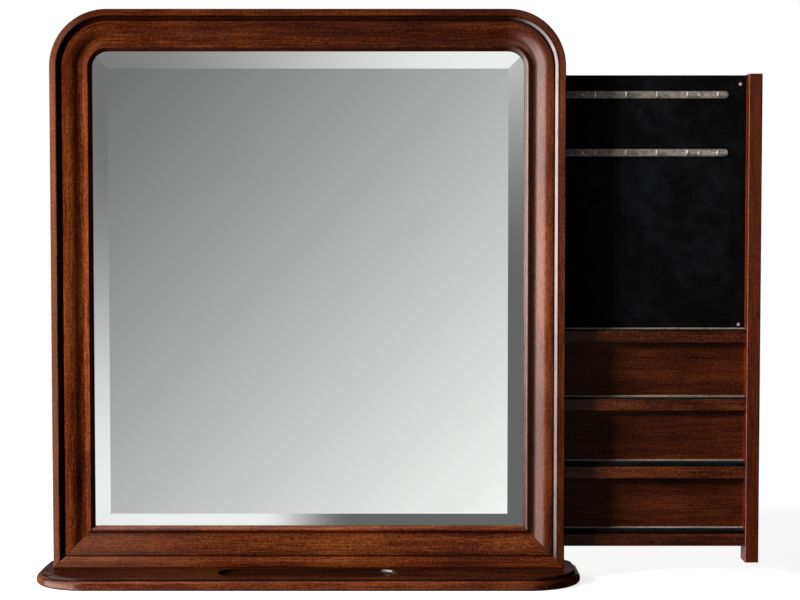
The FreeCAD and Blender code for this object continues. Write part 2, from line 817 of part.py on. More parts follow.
shelf_screws = keep("shelf_screws", group([
    countersunk("board_screw_radius", "board_head_radius", "panel_thickness + board_bite * pocket_depth",
                "-y", across, "panel_back", f"{shelf_bottom(index)} + shelf_height / 2")
    for index in range(SHELF_COUNT)
    for across in spread("pocket_left + shelf_height", "end_board_left - shelf_height", 3)
]))
felt_screws = keep("felt_board_screws", group([
    pan_head("facing_thickness + board_bite * panel_thickness", across, "facing_front", height)
    for across in ("panel_left + panel_screw_inset", "end_board_left - panel_screw_inset")
    for height in ("panel_top - panel_screw_drop", "felt_bottom + panel_screw_inset")
]))
strip_screws = keep("strip_screws", group([
    pan_head("strip_thickness + facing_thickness + board_bite * panel_thickness",
             f"panel_middle {sign} strip_screw_spread", "strip_front", height)
    for height in ("upper_strip", "lower_strip") for sign in "+-"
]))

panel_blank = board(("panel_left", "end_board_left + end_board_groove"), ("panel_front", "panel_back"),
                    ("panel_bottom", "panel_top"))
keep("panel_board", cut(panel_blank, shelf_screws, felt_screws, strip_screws, inner_slide_screws))
felt_blank = board(panel_span, facing, ("felt_bottom", "panel_top"))
keep("felt_board", cut(felt_blank, felt_screws, strip_screws))

end_outline = rounded_rectangle("end_board_left", "end_board_right", "end_board_front", "end_board_rear",
                                "arris_radius", "arris_radius")
end_blank = prism("XY_Plane", end_outline, "end_board_top - end_board_bottom", z="end_board_bottom")
keep("end_board", cut(end_blank, panel_blank))
keep("pocket_cheek", board(("panel_left", "pocket_left"), shelf_span, ("panel_bottom", "felt_bottom")))

shelf_section = rounded_rectangle("0", "panel_front - shelf_front", "0", "shelf_height",
                                  "arris_radius", "arris_radius")
bead_section = [
    ("bead_radius", "0"),
    ("bead_radius", "bead_radius"),
    ("0", "0", "bead_radius", "round"),
]
pocket_length = "end_board_left - pocket_left"
beads = []
for index in range(SHELF_COUNT):
    number_from_top = SHELF_COUNT - index
    shelf = prism("YZ_Plane", shelf_section, pocket_length, "pocket_left", "shelf_front", shelf_bottom(index))
    keep(f"shelf_{number_from_top}", cut(shelf, shelf_screws))
    padded = index < 2
    liner_top = f"{shelf_top(index)} + {'pad_thickness' if padded else 'liner_thickness'}"
    liner = board(("pocket_left", "end_board_left"), ("shelf_front", "facing_front"),
                  (shelf_top(index), liner_top))
    keep(f"{'felt_pad' if padded else 'felt_liner'}_{number_from_top}", liner)
    beads.append(prism("YZ_Plane", bead_section, pocket_length, "pocket_left", "facing_front - bead_radius",
                       liner_top))
    if index < SHELF_COUNT - 1:
        back = board(("pocket_left", "end_board_left"), facing, (shelf_top(index), shelf_bottom(index + 1)))
        keep(f"pocket_back_{number_from_top - 1}", back)
keep("shelf_beads", group(beads))

# Hook strips and hooks

strip_outline = stadium("strip_length", "0", "strip_half")


def hook(x, z):
    """A wire that runs forward out of the strip and bends straight up."""
    bend_y = "strip_front - hook_reach + hook_bend_radius"
    stem = rod("hook_wire_radius", "hook_reach - hook_bend_radius", "-y", x, "strip_front", z)
    elbow = doc.addObject("Part::Torus", "elbow")
    bind(elbow, Radius1="hook_bend_radius", Radius2="hook_wire_radius")
    elbow.Angle3 = 90
    down, forward, left = FreeCAD.Vector(0, 0, -1), FreeCAD.Vector(0, -1, 0), FreeCAD.Vector(-1, 0, 0)
    place(elbow, x, bend_y, f"{z} + hook_bend_radius", FreeCAD.Rotation(down, forward, left, "XYZ"))
    tip_y = f"{bend_y} - hook_bend_radius"
    upright = rod("hook_wire_radius", "hook_rise", "+z", x, tip_y, f"{z} + hook_bend_radius")
    tip = doc.addObject("Part::Sphere", "tip")
    bind(tip, Radius="hook_wire_radius")
    place(tip, x, tip_y, f"{z} + hook_bend_radius + hook_rise")
    return fuse([stem, elbow, upright, tip])


for name, height in (("upper", "upper_strip"), ("lower", "lower_strip")):
    strip = prism("XZ_Plane", strip_outline, "strip_thickness", "panel_middle", "facing_front", height)
    keep(f"{name}_hook_strip", cut(strip, strip_screws))
    keep(f"{name}_hooks", group([
        hook(f"panel_middle + ({step} - {HOOK_COUNT - 1} / 2) * hook_pitch", f"{height} - hook_sink")
        for step in range(HOOK_COUNT)
    ]))

# Check everything, then write one file for each sub-part

doc.recompute()
failed = [thing.Label for thing in doc.Objects if {"Invalid", "Error"} & set(thing.State)]
failed += [part.Label for part in sub_parts if part.Shape.isNull() or not part.Shape.isValid()]
if failed:
    raise RuntimeError(f"not built: {', '.join(failed)}")

os.makedirs("parts", exist_ok=True)
for part in sub_parts:
    part.Shape.exportStep(f"parts/{part.Label}.step")
    print(f"{part.Label}: {len(part.Shape.Solids)} solids, {part.Shape.Volume:.0f} mm3")
print(f"{len(sub_parts)} sub-parts")
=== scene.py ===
# %% [markdown]
# # A dresser mirror with a slide-out jewellery panel
# The mirror was drawn as solids, and this lesson dresses them in Blender. The solids stay where they are
# and get real finishes. Felt, hook strips and screw heads are modelled anew, because cloth and small
# pressed metal need softer forms than a plain solid has.

# %% Load the solids
import json
import math

import bmesh
import bpy
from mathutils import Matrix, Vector

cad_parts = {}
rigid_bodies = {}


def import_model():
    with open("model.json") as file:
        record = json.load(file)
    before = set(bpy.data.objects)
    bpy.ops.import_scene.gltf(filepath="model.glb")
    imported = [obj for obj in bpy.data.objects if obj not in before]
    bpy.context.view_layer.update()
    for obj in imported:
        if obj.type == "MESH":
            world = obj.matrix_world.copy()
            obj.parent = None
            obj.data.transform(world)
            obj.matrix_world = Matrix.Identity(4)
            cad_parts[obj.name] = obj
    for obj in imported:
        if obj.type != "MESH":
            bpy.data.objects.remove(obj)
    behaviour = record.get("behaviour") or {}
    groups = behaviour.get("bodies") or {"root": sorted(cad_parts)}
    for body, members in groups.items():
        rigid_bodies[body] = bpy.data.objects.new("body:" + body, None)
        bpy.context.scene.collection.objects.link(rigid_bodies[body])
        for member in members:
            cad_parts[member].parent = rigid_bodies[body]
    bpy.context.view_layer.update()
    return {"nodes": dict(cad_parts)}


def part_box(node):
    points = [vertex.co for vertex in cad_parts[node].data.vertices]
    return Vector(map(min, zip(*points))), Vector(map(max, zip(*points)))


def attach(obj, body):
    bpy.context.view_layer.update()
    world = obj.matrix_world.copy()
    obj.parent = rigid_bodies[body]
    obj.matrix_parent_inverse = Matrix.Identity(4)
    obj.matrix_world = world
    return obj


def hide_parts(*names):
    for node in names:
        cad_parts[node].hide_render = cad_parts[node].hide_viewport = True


bpy.ops.object.select_all(action="SELECT")
bpy.ops.object.delete()
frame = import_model()
nodes = frame["nodes"]

# %% [markdown]
# ## Shader sums in Python
# A finish is a small sum over a point's place: streaks here, pores there, a darker tone in the grooves.
# Such sums can be built by hand from Math nodes, or written as Python expressions that add the nodes.
# Expressions are easier to read, so a wire between nodes gets the usual operators.

# %% A wire that Python can calculate with
class Wire:
    """One output of a node. A sum written with it becomes a Math node in the same tree."""

    def __init__(self, finish, socket):
        self.finish = finish
        self.socket = socket

    def output(self, name):
        """Another output of the same node."""
        return Wire(self.finish, self.socket.node.outputs[name])

    def math(self, operation, first, second):
        return self.finish.node("Math", {"operation": operation}, {0: first, 1: second})

    def __add__(self, other):
        return self.math("ADD", self, other)

    def __radd__(self, other):
        return self.math("ADD", other, self)

    def __sub__(self, other):
        return self.math("SUBTRACT", self, other)

    def __rsub__(self, other):
        return self.math("SUBTRACT", other, self)

    def __mul__(self, other):
        return self.math("MULTIPLY", self, other)

    def __rmul__(self, other):
        return self.math("MULTIPLY", other, self)

    def __pow__(self, other):
        return self.math("POWER", self, other)

    def __rpow__(self, other):
        return self.math("POWER", other, self)

    def __abs__(self):
        return self.math("ABSOLUTE", self, 0.0)


print("a wire knows +, -, *, ** and abs")

# %% A node tree that is filled step by step
class Finish:
    """The node tree of a material or of the world."""

    def __init__(self, owner):
        owner.use_nodes = True
        self.tree = owner.node_tree
        self.tree.nodes.clear()

    def node(self, kind, settings=None, sockets=None, output=0):
        """Adds a node: first its settings, then the values or wires of its sockets."""
        made = self.tree.nodes.new(f"ShaderNode{kind}")
        for name, value in (settings or {}).items():
            setattr(made, name, value)
        for name, value in (sockets or {}).items():
            if isinstance(value, Wire):
                self.tree.links.new(value.socket, made.inputs[name])
            else:
                made.inputs[name].default_value = value
        return Wire(self, made.outputs[output]) if made.outputs else made

    def place(self):
        """The point's place on its object, as three wires."""
        point = self.node("TexCoord", output="Object")
        axes = self.node("SeparateXYZ", sockets={0: point})
        return [axes.output(axis) for axis in "XYZ"]

    def vector(self, x, y, z):
        return self.node("CombineXYZ", sockets={0: x, 1: y, 2: z})

    def grid(self, x, y, z, per_metre):
        """A vector with so many cells per metre each way."""
        return self.vector(x * per_metre, y * per_metre, z * per_metre)

    def noise(self, vector, detail=2.0):
        """Cloudy noise from 0 to 1, with a period of about one unit of the vector."""
        return self.node("TexNoise", sockets={"Vector": vector, "Scale": 1.0, "Detail": detail})

    def rise(self, value, low, high):
        """0 below low, 1 above high, and a smooth rise between them."""
        return self.node("MapRange", {"interpolation_type": "SMOOTHSTEP"}, {0: value, 1: low, 2: high})

    def between(self, value, start, end):
        """1 between two soft edges. Each is a pair: where it still gives 0, and where it gives 1."""
        return self.rise(value, *start) * self.rise(value, *end)

    def larger(self, first, second):
        return self.node("Math", {"operation": "MAXIMUM"}, {0: first, 1: second})

    def mix(self, factor, first, second, way="MIX"):
        """A colour mixed from two colours."""
        settings = {"data_type": "RGBA", "blend_type": way}
        return self.node("Mix", settings, {0: factor, 6: first, 7: second}, output=2)

    def dots(self, vector, radius, share):
        """Small round dots in some of the cells of a honeycomb, 1 inside a dot."""
        cells = self.node("TexVoronoi", sockets={"Vector": vector, "Scale": 1.0})
        chosen = self.node("SeparateColor", sockets={0: cells.output("Color")})
        return (1 - self.rise(cells, radius / 2, radius)) * self.rise(chosen, 1 - share, 1.001 - share)

    def bump(self, height, depth, strength=1.0):
        return self.node("Bump", sockets={"Height": height, "Distance": depth, "Strength": strength})

    def surface(self, **sockets):
        """A principled surface as the tree's result. Socket names are written with underscores."""
        named = {name.replace("_", " "): value for name, value in sockets.items()}
        shader = self.node("BsdfPrincipled", sockets=named)
        self.node("OutputMaterial", sockets={"Surface": shader})


def new_finish(name):
    material = bpy.data.materials.new(name)
    return material, Finish(material)


def colour(red, green, blue):
    return (red, green, blue, 1.0)


print("wires and finishes are ready")

# %% [markdown]
# ## Which way the grain runs
# Each board was sawn along the grain, so streaks run along its length. The frame looks as if one long
# strip of veneer went up the left, round both corners and down the right, without a break at the joints.
# A direction could be painted, but two measures do it exactly: how far a point lies along the strip, and
# how far in from the frame's outer edge.

# %% Grain directions
FRAME_RIGHT = 0.515
FRAME_TOP = 1.145
FRAME_BOTTOM = 0.025
CORNER_CENTRE_X = 0.400
CORNER_CENTRE_Z = 1.030
CORNER_RADIUS = 0.115
TOP_START = CORNER_CENTRE_Z + CORNER_RADIUS * math.pi / 2
TOP_END = TOP_START + 2 * CORNER_CENTRE_X
STRIP_END = TOP_END + CORNER_RADIUS * math.pi / 2 + CORNER_CENTRE_Z


def along_x(x, y, z):
    return x, z, y


def along_z(x, y, z):
    return z, x, y


def corner_distance(side, x, z):
    """Distance from the centre of the left (-1) or right (1) top corner."""
    sideways = x - side * CORNER_CENTRE_X
    upward = z - CORNER_CENTRE_Z
    return (sideways * sideways + upward * upward) ** 0.5


def up_left(x, z):
    return z, x + FRAME_RIGHT


def round_corner(side, x, z):
    """Along and in at the left (-1) or right (1) top corner."""
    past_top = x.math("ARCTAN2", x - side * CORNER_CENTRE_X, z - CORNER_CENTRE_Z) * CORNER_RADIUS
    start = TOP_START if side < 0 else TOP_END
    return start + past_top, CORNER_RADIUS - corner_distance(side, x, z)


def round_left(x, z):
    return round_corner(-1, x, z)


def along_top(x, z):
    return TOP_START + CORNER_CENTRE_X + x, FRAME_TOP - z


def round_right(x, z):
    return round_corner(1, x, z)


def down_right(x, z):
    return STRIP_END - z, FRAME_RIGHT - x


def along_bottom(x, z):
    return x, z - FRAME_BOTTOM


def strip_grain(run):
    """The grain of a piece of the frame, from its measures along and in."""

    def follow(x, y, z):
        along, inward = run(x, z)
        return along, inward, y

    return follow


print(f"the strip of veneer round the frame is {STRIP_END:.2f} m long")

# %% [markdown]
# ## Dark cherry lacquer
# The wood is stained a dark red-brown and lacquered. Its look has layers: broad figure, fine streaks
# along the grain, a golden mottling, short open pores, a few dust specks under the lacquer, painted shade
# in the grooves and corners, and a clear coat over all. Only the coat shines, so the wood under it has no
# gloss of its own. One function builds these layers for any wood, because only the colours, the gloss and
# the grain direction change from board to board.

# %% Cherry tones and what lies on them
CHERRY = {
    "dark": colour(0.041, 0.0074, 0.0022),
    "middle": colour(0.121, 0.0217, 0.0050),
    "light": colour(0.261, 0.0670, 0.0142),
}
PORE = colour(0.010, 0.0024, 0.0010)
SPECK = colour(0.42, 0.27, 0.20)
# Painted shade in grooves, creases and on the base's top, darker parts of the frame, and the real dark line
# of the mitre joints
SHADE_AND_JOINT_DARK = colour(0.012, 0.0032, 0.0016)
# A painted pale sheen that stands for reflections of the soft box on the lacquer
PAINTED_SHEEN = colour(0.27, 0.115, 0.070)


def deeper(tones, share):
    """The same tones with only a share of their light."""
    return {name: colour(*(share * part for part in tone[:3])) for name, tone in tones.items()}


print("cherry has", ", ".join(CHERRY), "tones")

# %% One recipe for every wood
PORE_RISE = (0.56, 0.70)
DARK_TO_MIDDLE = (0.45, 0.56)
MIDDLE_TO_LIGHT = (0.54, 0.66)
CLOUDS_PER_METRE = 9.0
DUST_CELLS_PER_METRE = 110.0
DUST_RADIUS = 0.055
# Painted shade in grooves and corners: how far a point looks for cover, and how open it must be to stay
# undarkened
GROOVE_REACH = 0.010
GROOVE_OPENNESS = (0.35, 0.95)
MITRE_SUM = 0.540
MITRE_HALF_WIDTH = 0.0009
GRAIN_RELIEF = 0.00025


def wood(name, grain, seed, tones=CHERRY, coat=0.25, rough=0.32, coat_rough=0.22, specks=0.03,
         mitred=False, darkened=None, sheen_painted=None, polished=None):
    """A lacquered wood. The seed shifts the pattern, so that no two boards match.

    The functions given for darkening, painted sheen and polish say where the colour is darker, mostly
    painted shade, where a pale sheen is painted on, and how much coat there is at each place.
    """
    material, finish = new_finish(name)
    x, y, z = finish.place()
    along, across, through = grain(x, y, z)

    def streaks(lengthwise, crosswise, detail):
        """Noise with so many cells per metre along the grain and across it."""
        cells = finish.vector(along * lengthwise, across * crosswise + seed, through * crosswise)
        return finish.noise(cells, detail)

    def scattered(per_metre):
        """An even grid, shifted by the seed."""
        return finish.vector(x * per_metre + seed, y * per_metre, z * per_metre)

    figure = streaks(lengthwise=2.4, crosswise=40.0, detail=3.0)
    fine = streaks(lengthwise=14.0, crosswise=330.0, detail=3.0)
    mottle = streaks(lengthwise=210.0, crosswise=380.0, detail=2.0)
    pores = finish.rise(streaks(lengthwise=70.0, crosswise=700.0, detail=2.0), *PORE_RISE)
    cloud = finish.noise(scattered(CLOUDS_PER_METRE))
    tone = figure * 0.35 + fine * 0.27 + mottle * 0.33 + cloud * 0.15
    base = finish.mix(finish.rise(tone, *DARK_TO_MIDDLE), tones["dark"], tones["middle"])
    base = finish.mix(finish.rise(tone, *MIDDLE_TO_LIGHT), base, tones["light"])
    base = finish.mix(pores * 0.75, base, PORE)
    dust = finish.dots(scattered(DUST_CELLS_PER_METRE), DUST_RADIUS, specks)
    base = finish.mix(dust * 0.8, base, SPECK)
    # Painted shade: the wood turns dark where little light reaches, in grooves and corners
    openness = finish.node("AmbientOcclusion", {"only_local": True, "samples": 6},
                           {"Distance": GROOVE_REACH}, output="AO")
    groove = 1 - finish.rise(openness, *GROOVE_OPENNESS)
    base = finish.mix(groove * 0.75, base, SHADE_AND_JOINT_DARK)
    # A painted pale sheen, where the lacquer would reflect the soft box
    if sheen_painted:
        base = finish.mix(sheen_painted(finish, x, y, z) * mottle, base, PAINTED_SHEEN)
    # Mostly painted shade, and some parts darker
    if darkened:
        base = finish.mix(darkened(finish, x, y, z), base, SHADE_AND_JOINT_DARK)
    if mitred:
        from_mitre = abs(abs(x) + z - MITRE_SUM)
        base = finish.mix(1 - finish.rise(from_mitre, MITRE_HALF_WIDTH / 3, MITRE_HALF_WIDTH), base, SHADE_AND_JOINT_DARK)
    gloss = polished(finish, x, y, z) if polished else coat
    finish.surface(
        Base_Color=base,
        Roughness=rough + cloud * 0.12 + pores * 0.10,
        Specular_IOR_Level=0.0,
        Coat_Weight=gloss * (0.8 + cloud * 0.4 - pores * 0.5),
        Coat_Roughness=coat_rough,
        Normal=finish.bump(fine * 0.3 + mottle * 0.3 + cloud * 0.2 - pores * 0.5, GRAIN_RELIEF),
    )
    return material


def dress(material, *names):
    """Gives a finish to solids."""
    for name in names:
        nodes[name].material_slots[0].material = material


print(f"the grain is up to {GRAIN_RELIEF * 1000} mm deep")

# %% [markdown]
# ## Painted shade, painted sheen and polish
# Shade is painted into the colour in the splay beside the outer band, in the quirk of the bottom rail, on
# the slope from the lip down to the glass, and on the top, the step and the tray of the base. The frame is
# also darker towards its top, on the inner fall of the right side and on the left half of the bottom rail.
# A pale sheen is painted on the left of the outer band, in the hollow on the right and on the left of the
# bottom rail. The gloss grows from left to right and fades towards the foot of the right side. It is
# brightest there in the splay and on the slope at the glass. The masks below say where, mostly by the
# measure from the outer edge. Each pair of numbers is a soft edge in metres: where a mask still gives 0,
# and where it gives 1.

# %% Painted shade and darker parts on the frame
SPLAY_START = (0.0120, 0.0140)
SPLAY_END = (0.0245, 0.0225)
QUIRK_START = (0.0205, 0.0220)
QUIRK_END = (0.0255, 0.0242)
FALL_START = (0.0400, 0.0480)
FALL_END = (0.0660, 0.0600)
LIP_SLOPE = (0.0748, 0.0762)
UPPER_PART = (0.98, 1.10)
RIGHT_PART = (0.380, 0.450)
LEFT_HALF = (0.120, -0.120)
GROOVE_SHADE = 0.85
FALL_DARKENING = 0.45
UPPER_DARKENING = 0.38
RAIL_DARKENING = 0.22


def darkening_on_moulding(run):
    """Painted shade and darker parts for one piece of the frame, from its measures along and in."""

    def mask(finish, x, y, z):
        inward = run(x, z)[1]
        # Painted shade in the splay and on the slope down to the glass
        splay = finish.between(inward, SPLAY_START, SPLAY_END)
        painted_groove_shade = finish.larger(splay, finish.rise(inward, *LIP_SLOPE))
        # Darker on the inner fall of the right side and towards the top
        fall = finish.between(inward, FALL_START, FALL_END) * finish.rise(x, *RIGHT_PART)
        thin = finish.larger(FALL_DARKENING * fall, UPPER_DARKENING * finish.rise(z, *UPPER_PART))
        return finish.larger(GROOVE_SHADE * painted_groove_shade, thin)

    return mask


def darkening_on_rail(finish, x, y, z):
    """The bottom rail: painted shade in its narrow quirk, and a little darker on its left half."""
    quirk = finish.between(along_bottom(x, z)[1], QUIRK_START, QUIRK_END)
    return finish.larger(GROOVE_SHADE * quirk, RAIL_DARKENING * finish.rise(x, *LEFT_HALF))


# The splay and the slope past the lip get painted shade
print(f"glaze stays from {SPLAY_START[0]} to {SPLAY_END[0]} m and past {LIP_SLOPE[0]} m")

# %% Painted sheen on the frame
BAND_END = (0.0125, 0.0105)
HOLLOW_START = (0.0580, 0.0640)
HOLLOW_END = (0.0762, 0.0746)
LEFT_PART = (-0.430, -0.490)
SHEEN_RAIL = (-0.150, -0.430)
HOLLOW_SHEEN = 1.8
RAIL_SHEEN = 0.5


def painted_sheen_on_moulding(run):
    """A painted sheen on the outer band on the left and in the hollow on the right of the frame."""

    def mask(finish, x, y, z):
        inward = run(x, z)[1]
        band = finish.rise(inward, *BAND_END) * finish.rise(x, *LEFT_PART)
        hollow = finish.between(inward, HOLLOW_START, HOLLOW_END)
        return band + HOLLOW_SHEEN * hollow * finish.rise(x, *RIGHT_PART)

    return mask


def painted_sheen_on_rail(finish, x, y, z):
    """A painted sheen on the left part of the bottom rail."""
    return RAIL_SHEEN * finish.rise(x, *SHEEN_RAIL)


# The hollow gets a painted sheen
print(f"the hollow is hazy from {HOLLOW_START[0]} to {HOLLOW_END[0]} m")

# %% Polish of the frame
GROOVE_START = (0.0110, 0.0125)
GROOVE_END = (0.0260, 0.0245)
BRIGHT_START = (0.0150, 0.0162)
BRIGHT_END = (0.0215, 0.0203)
TOP_PART = (-0.430, -0.200)
LESS_BRIGHT = (0.700, 0.200)
LEFT_COAT = 0.03
TOP_COAT = 0.09
RIGHT_COAT = 0.26
BRIGHT_COAT = 0.85
FOOT_FADE = 0.5


def polish_on_moulding(run):
    """The coat of one piece of the frame. The groove beside the band stays dull but for its bright line."""

    def mask(finish, x, y, z):
        inward = run(x, z)[1]
        groove = finish.between(inward, GROOVE_START, GROOVE_END)
        right = finish.rise(x, *RIGHT_PART) * (1 - FOOT_FADE * finish.rise(z, *LESS_BRIGHT))
        even = LEFT_COAT + TOP_COAT * finish.rise(x, *TOP_PART) + RIGHT_COAT * right
        line = finish.between(inward, BRIGHT_START, BRIGHT_END)
        bright = finish.larger(line, finish.rise(inward, *LIP_SLOPE)) * right
        return finish.larger(even * (1 - groove), BRIGHT_COAT * bright)

    return mask


print(f"the bright line lies from {BRIGHT_START[0]} to {BRIGHT_END[0]} m")

# %% Painted shade and polish of the base
DECK_HEIGHT = (0.0160, 0.0168)
DECK_FRONT = (-0.1045, -0.1015)
DECK_END = (0.5400, 0.5360)
TRAY_HEIGHT = (0.0248, 0.0240)
TRAY_FRONT = (-0.0885, -0.0875)
TRAY_END = (0.1795, 0.1785)
TRAY_RIGHT = (0.140, 0.168)
STEP_FOOT = (0.0180, 0.0187)
STEP_TOP = (0.0212, 0.0200)
# Painted shade in the step of the edge, on the top and in the tray
STEP_SHADE = 0.92
DECK_SHADE = 0.80
TRAY_SHADE = 0.15
BASE_COAT = 0.25
DECK_DULLING = 0.15


def deck(finish, x, y, z):
    """1 on the top of the base and in its tray."""
    return finish.rise(z, *DECK_HEIGHT) * finish.rise(y, *DECK_FRONT) * finish.rise(abs(x), *DECK_END)


def tray(finish, x, y, z):
    """1 in the tray."""
    return finish.rise(z, *TRAY_HEIGHT) * finish.rise(y, *TRAY_FRONT) * finish.rise(abs(x), *TRAY_END)


def painted_shade_on_deck(finish, x, y, z):
    """Painted shade on the top of the base, stronger in its tray and in the step of its edge."""
    inside = tray(finish, x, y, z)
    step = finish.between(z, STEP_FOOT, STEP_TOP) * (1 - inside)
    return finish.larger(STEP_SHADE * step, DECK_SHADE * deck(finish, x, y, z) + TRAY_SHADE * inside)


def polish_on_base(finish, x, y, z):
    """The coat of the base: its top is dull, and in the tray only the right end is polished."""
    even = BASE_COAT - DECK_DULLING * deck(finish, x, y, z)
    return even + (finish.rise(x, *TRAY_RIGHT) - even) * tray(finish, x, y, z)


print(f"the tray reaches from {-TRAY_END[1]} to {TRAY_END[1]} m")

# %% Frame and base in cherry
RAIL_CHERRY = deeper(CHERRY, 0.95)
BASE_CHERRY = deeper(CHERRY, 0.98)
STRIP_SEED = 1.3
CLEAR = 0.22
SOFT = 0.30
STRIP_PIECES = (
    ("left_stile", up_left, CLEAR, True),
    ("left_corner", round_left, CLEAR, False),
    ("top_rail", along_top, CLEAR, False),
    ("right_corner", round_right, SOFT, False),
    ("right_stile", down_right, SOFT, True),
)
for name, run, coat_rough, mitred in STRIP_PIECES:
    veneer = wood(f"cherry_{name}", strip_grain(run), STRIP_SEED, coat_rough=coat_rough, mitred=mitred,
                  darkened=darkening_on_moulding(run), sheen_painted=painted_sheen_on_moulding(run),
                  polished=polish_on_moulding(run))
    dress(veneer, f"frame_{name}")
bottom_rail = wood("cherry_bottom_rail", along_x, 7.9, RAIL_CHERRY, specks=0.07, mitred=True,
                   darkened=darkening_on_rail, sheen_painted=painted_sheen_on_rail)
dress(bottom_rail, "frame_bottom_rail")
base_cherry = wood("cherry_base", along_x, 3.1, BASE_CHERRY, darkened=painted_shade_on_deck, polished=polish_on_base)
dress(base_cherry, "base_board")
print(f"base, bottom rail and {len(STRIP_PIECES)} pieces of the strip are in cherry")

# %% [markdown]
# ## The case behind the frame
# Its boards are of the same cherry, but hardly lacquered, because little of them shows. The side, the
# corners and the top could each get a grain of their own. They follow the frame's strip instead, so that
# the streaks bend round the corners with them.

# %% Case in cherry
CASE_COAT = 0.02
CASE_SEED = 6.6
dress(wood("cherry_case_bottom", along_x, 3.1, coat=CASE_COAT), "case_bottom")
side_cherry = wood("cherry_case_side", strip_grain(up_left), CASE_SEED, coat=CASE_COAT)
dress(side_cherry, "case_left_side", "pocket_cheek")
for name, run in (("left_corner", round_left), ("top", along_top), ("right_corner", round_right)):
    dress(wood(f"cherry_case_{name}", strip_grain(run), CASE_SEED, coat=CASE_COAT), f"case_{name}")
print(f"the case is in cherry with a coat of {CASE_COAT}")

# %% [markdown]
# ## The slide-out's wood
# The end board is the pull of the slide-out and a redder plank. The shelves and the pocket backs run
# across. The backs are thin veneered panels that lie deep in the pockets, so they are darker, with
# stronger streaks and less gloss. The bead along each pocket has the highest gloss of all, and pale tones
# that paint its highlight line.

# %% End board, shelves, pocket backs and beads
RED_CHERRY = {
    "dark": colour(0.060, 0.0085, 0.0022),
    "middle": colour(0.118, 0.0165, 0.0036),
    "light": colour(0.175, 0.0290, 0.0060),
}
POCKET_VENEER = {
    "dark": colour(0.027, 0.0049, 0.0016),
    "middle": colour(0.077, 0.0142, 0.0036),
    "light": colour(0.138, 0.0300, 0.0070),
}
# The pale tones paint the bead's highlight line
BEAD_PAINTED_HIGHLIGHT = {
    "dark": colour(0.26, 0.19, 0.15),
    "middle": colour(0.36, 0.28, 0.23),
    "light": colour(0.46, 0.38, 0.32),
}
dress(wood("cherry_end_board", along_z, 9.5, RED_CHERRY, coat=0.35), "end_board")
SHELF_CHERRY = deeper(CHERRY, 0.72)
for number in range(1, 5):
    shelf_cherry = wood(f"cherry_shelf_{number}", along_x, 2.2 * number, SHELF_CHERRY, specks=0.05)
    dress(shelf_cherry, f"shelf_{number}")
for number in range(1, 4):
    veneer = wood(f"veneer_pocket_{number}", along_x, 3.3 * number, POCKET_VENEER, coat=0.12, rough=0.45)
    dress(veneer, f"pocket_back_{number}")
dress(wood("bead_painted_highlight", along_x, 1.1, BEAD_PAINTED_HIGHLIGHT, coat=1.0, rough=0.2), "shelf_beads")
print("end board, 4 shelves, 3 pocket backs and the beads are dressed")

# %% [markdown]
# ## Board and dowel woods at the back
# The back of the case and the panel behind the felt are stained plywood. Dowels and glass shims are raw
# beech, and the board behind the glass is pressed fibre. They share the wood recipe with paler tones and
# almost no coat, because nobody lacquers what faces the wall.

# %% Plywood, beech and hardboard
PLYWOOD = {
    "dark": colour(0.105, 0.055, 0.026),
    "middle": colour(0.180, 0.100, 0.049),
    "light": colour(0.265, 0.160, 0.085),
}
BEECH = {
    "dark": colour(0.40, 0.24, 0.13),
    "middle": colour(0.52, 0.33, 0.19),
    "light": colour(0.62, 0.42, 0.26),
}
HARDBOARD = {
    "dark": colour(0.070, 0.036, 0.018),
    "middle": colour(0.098, 0.053, 0.027),
    "light": colour(0.130, 0.074, 0.040),
}
dress(wood("plywood_back", along_z, 4.4, PLYWOOD, coat=0.05, rough=0.55), "case_back")
dress(wood("plywood_panel", along_x, 6.1, PLYWOOD, coat=0.05, rough=0.55), "panel_board")
beech = wood("beech_raw", along_x, 2.9, BEECH, coat=0.0, rough=0.6)
dress(beech, "frame_dowels", "case_dowels", "glass_shims")
dress(wood("hardboard_smooth", along_x, 8.8, HARDBOARD, coat=0.0, rough=0.5), "mirror_backing")
print("plywood, beech and hardboard are dressed")

# %% [markdown]
# ## Mirror glass
# Silvered glass with a wide bevel. Glass over a silver layer can be built as two surfaces, but the eye
# sees one reflection with a faint green cast, so a polished metal in a greenish white stands for both.
# Wiping leaves faint smears, which only change the tint a little.

# %% Silvered glass
SILVER = colour(0.885, 0.915, 0.895)
SILVER_SMEARED = colour(0.865, 0.895, 0.875)
SMEAR_RISE = (0.55, 0.75)
material, finish = new_finish("silvered_glass")
x, y, z = finish.place()
wiped = finish.noise(finish.vector(x * 4.0 + z * 2.5, y, z * 14.0 - x * 6.0), 3.0)
smear = finish.rise(wiped, *SMEAR_RISE)
finish.surface(
    Base_Color=finish.mix(smear, SILVER, SILVER_SMEARED),
    Metallic=1.0,
    Roughness=0.0,
)
dress(material, "mirror_glass")
print("mirror dressed")

# %% [markdown]
# ## Metals
# The hook strips are brushed along their length and matt plated, the slides are zinc plated sheet, the
# balls are polished and the inserts are turned brass. A metal shows its making in its roughness: brush
# lines, the faint flakes of zinc, fine scuffs. So one recipe takes how far the lines are stretched.

# %% One recipe for the metals
STAINS_PER_METRE = 55.0
FLAKES_PER_METRE = 260.0
BRUSH_RELIEF = 0.00008


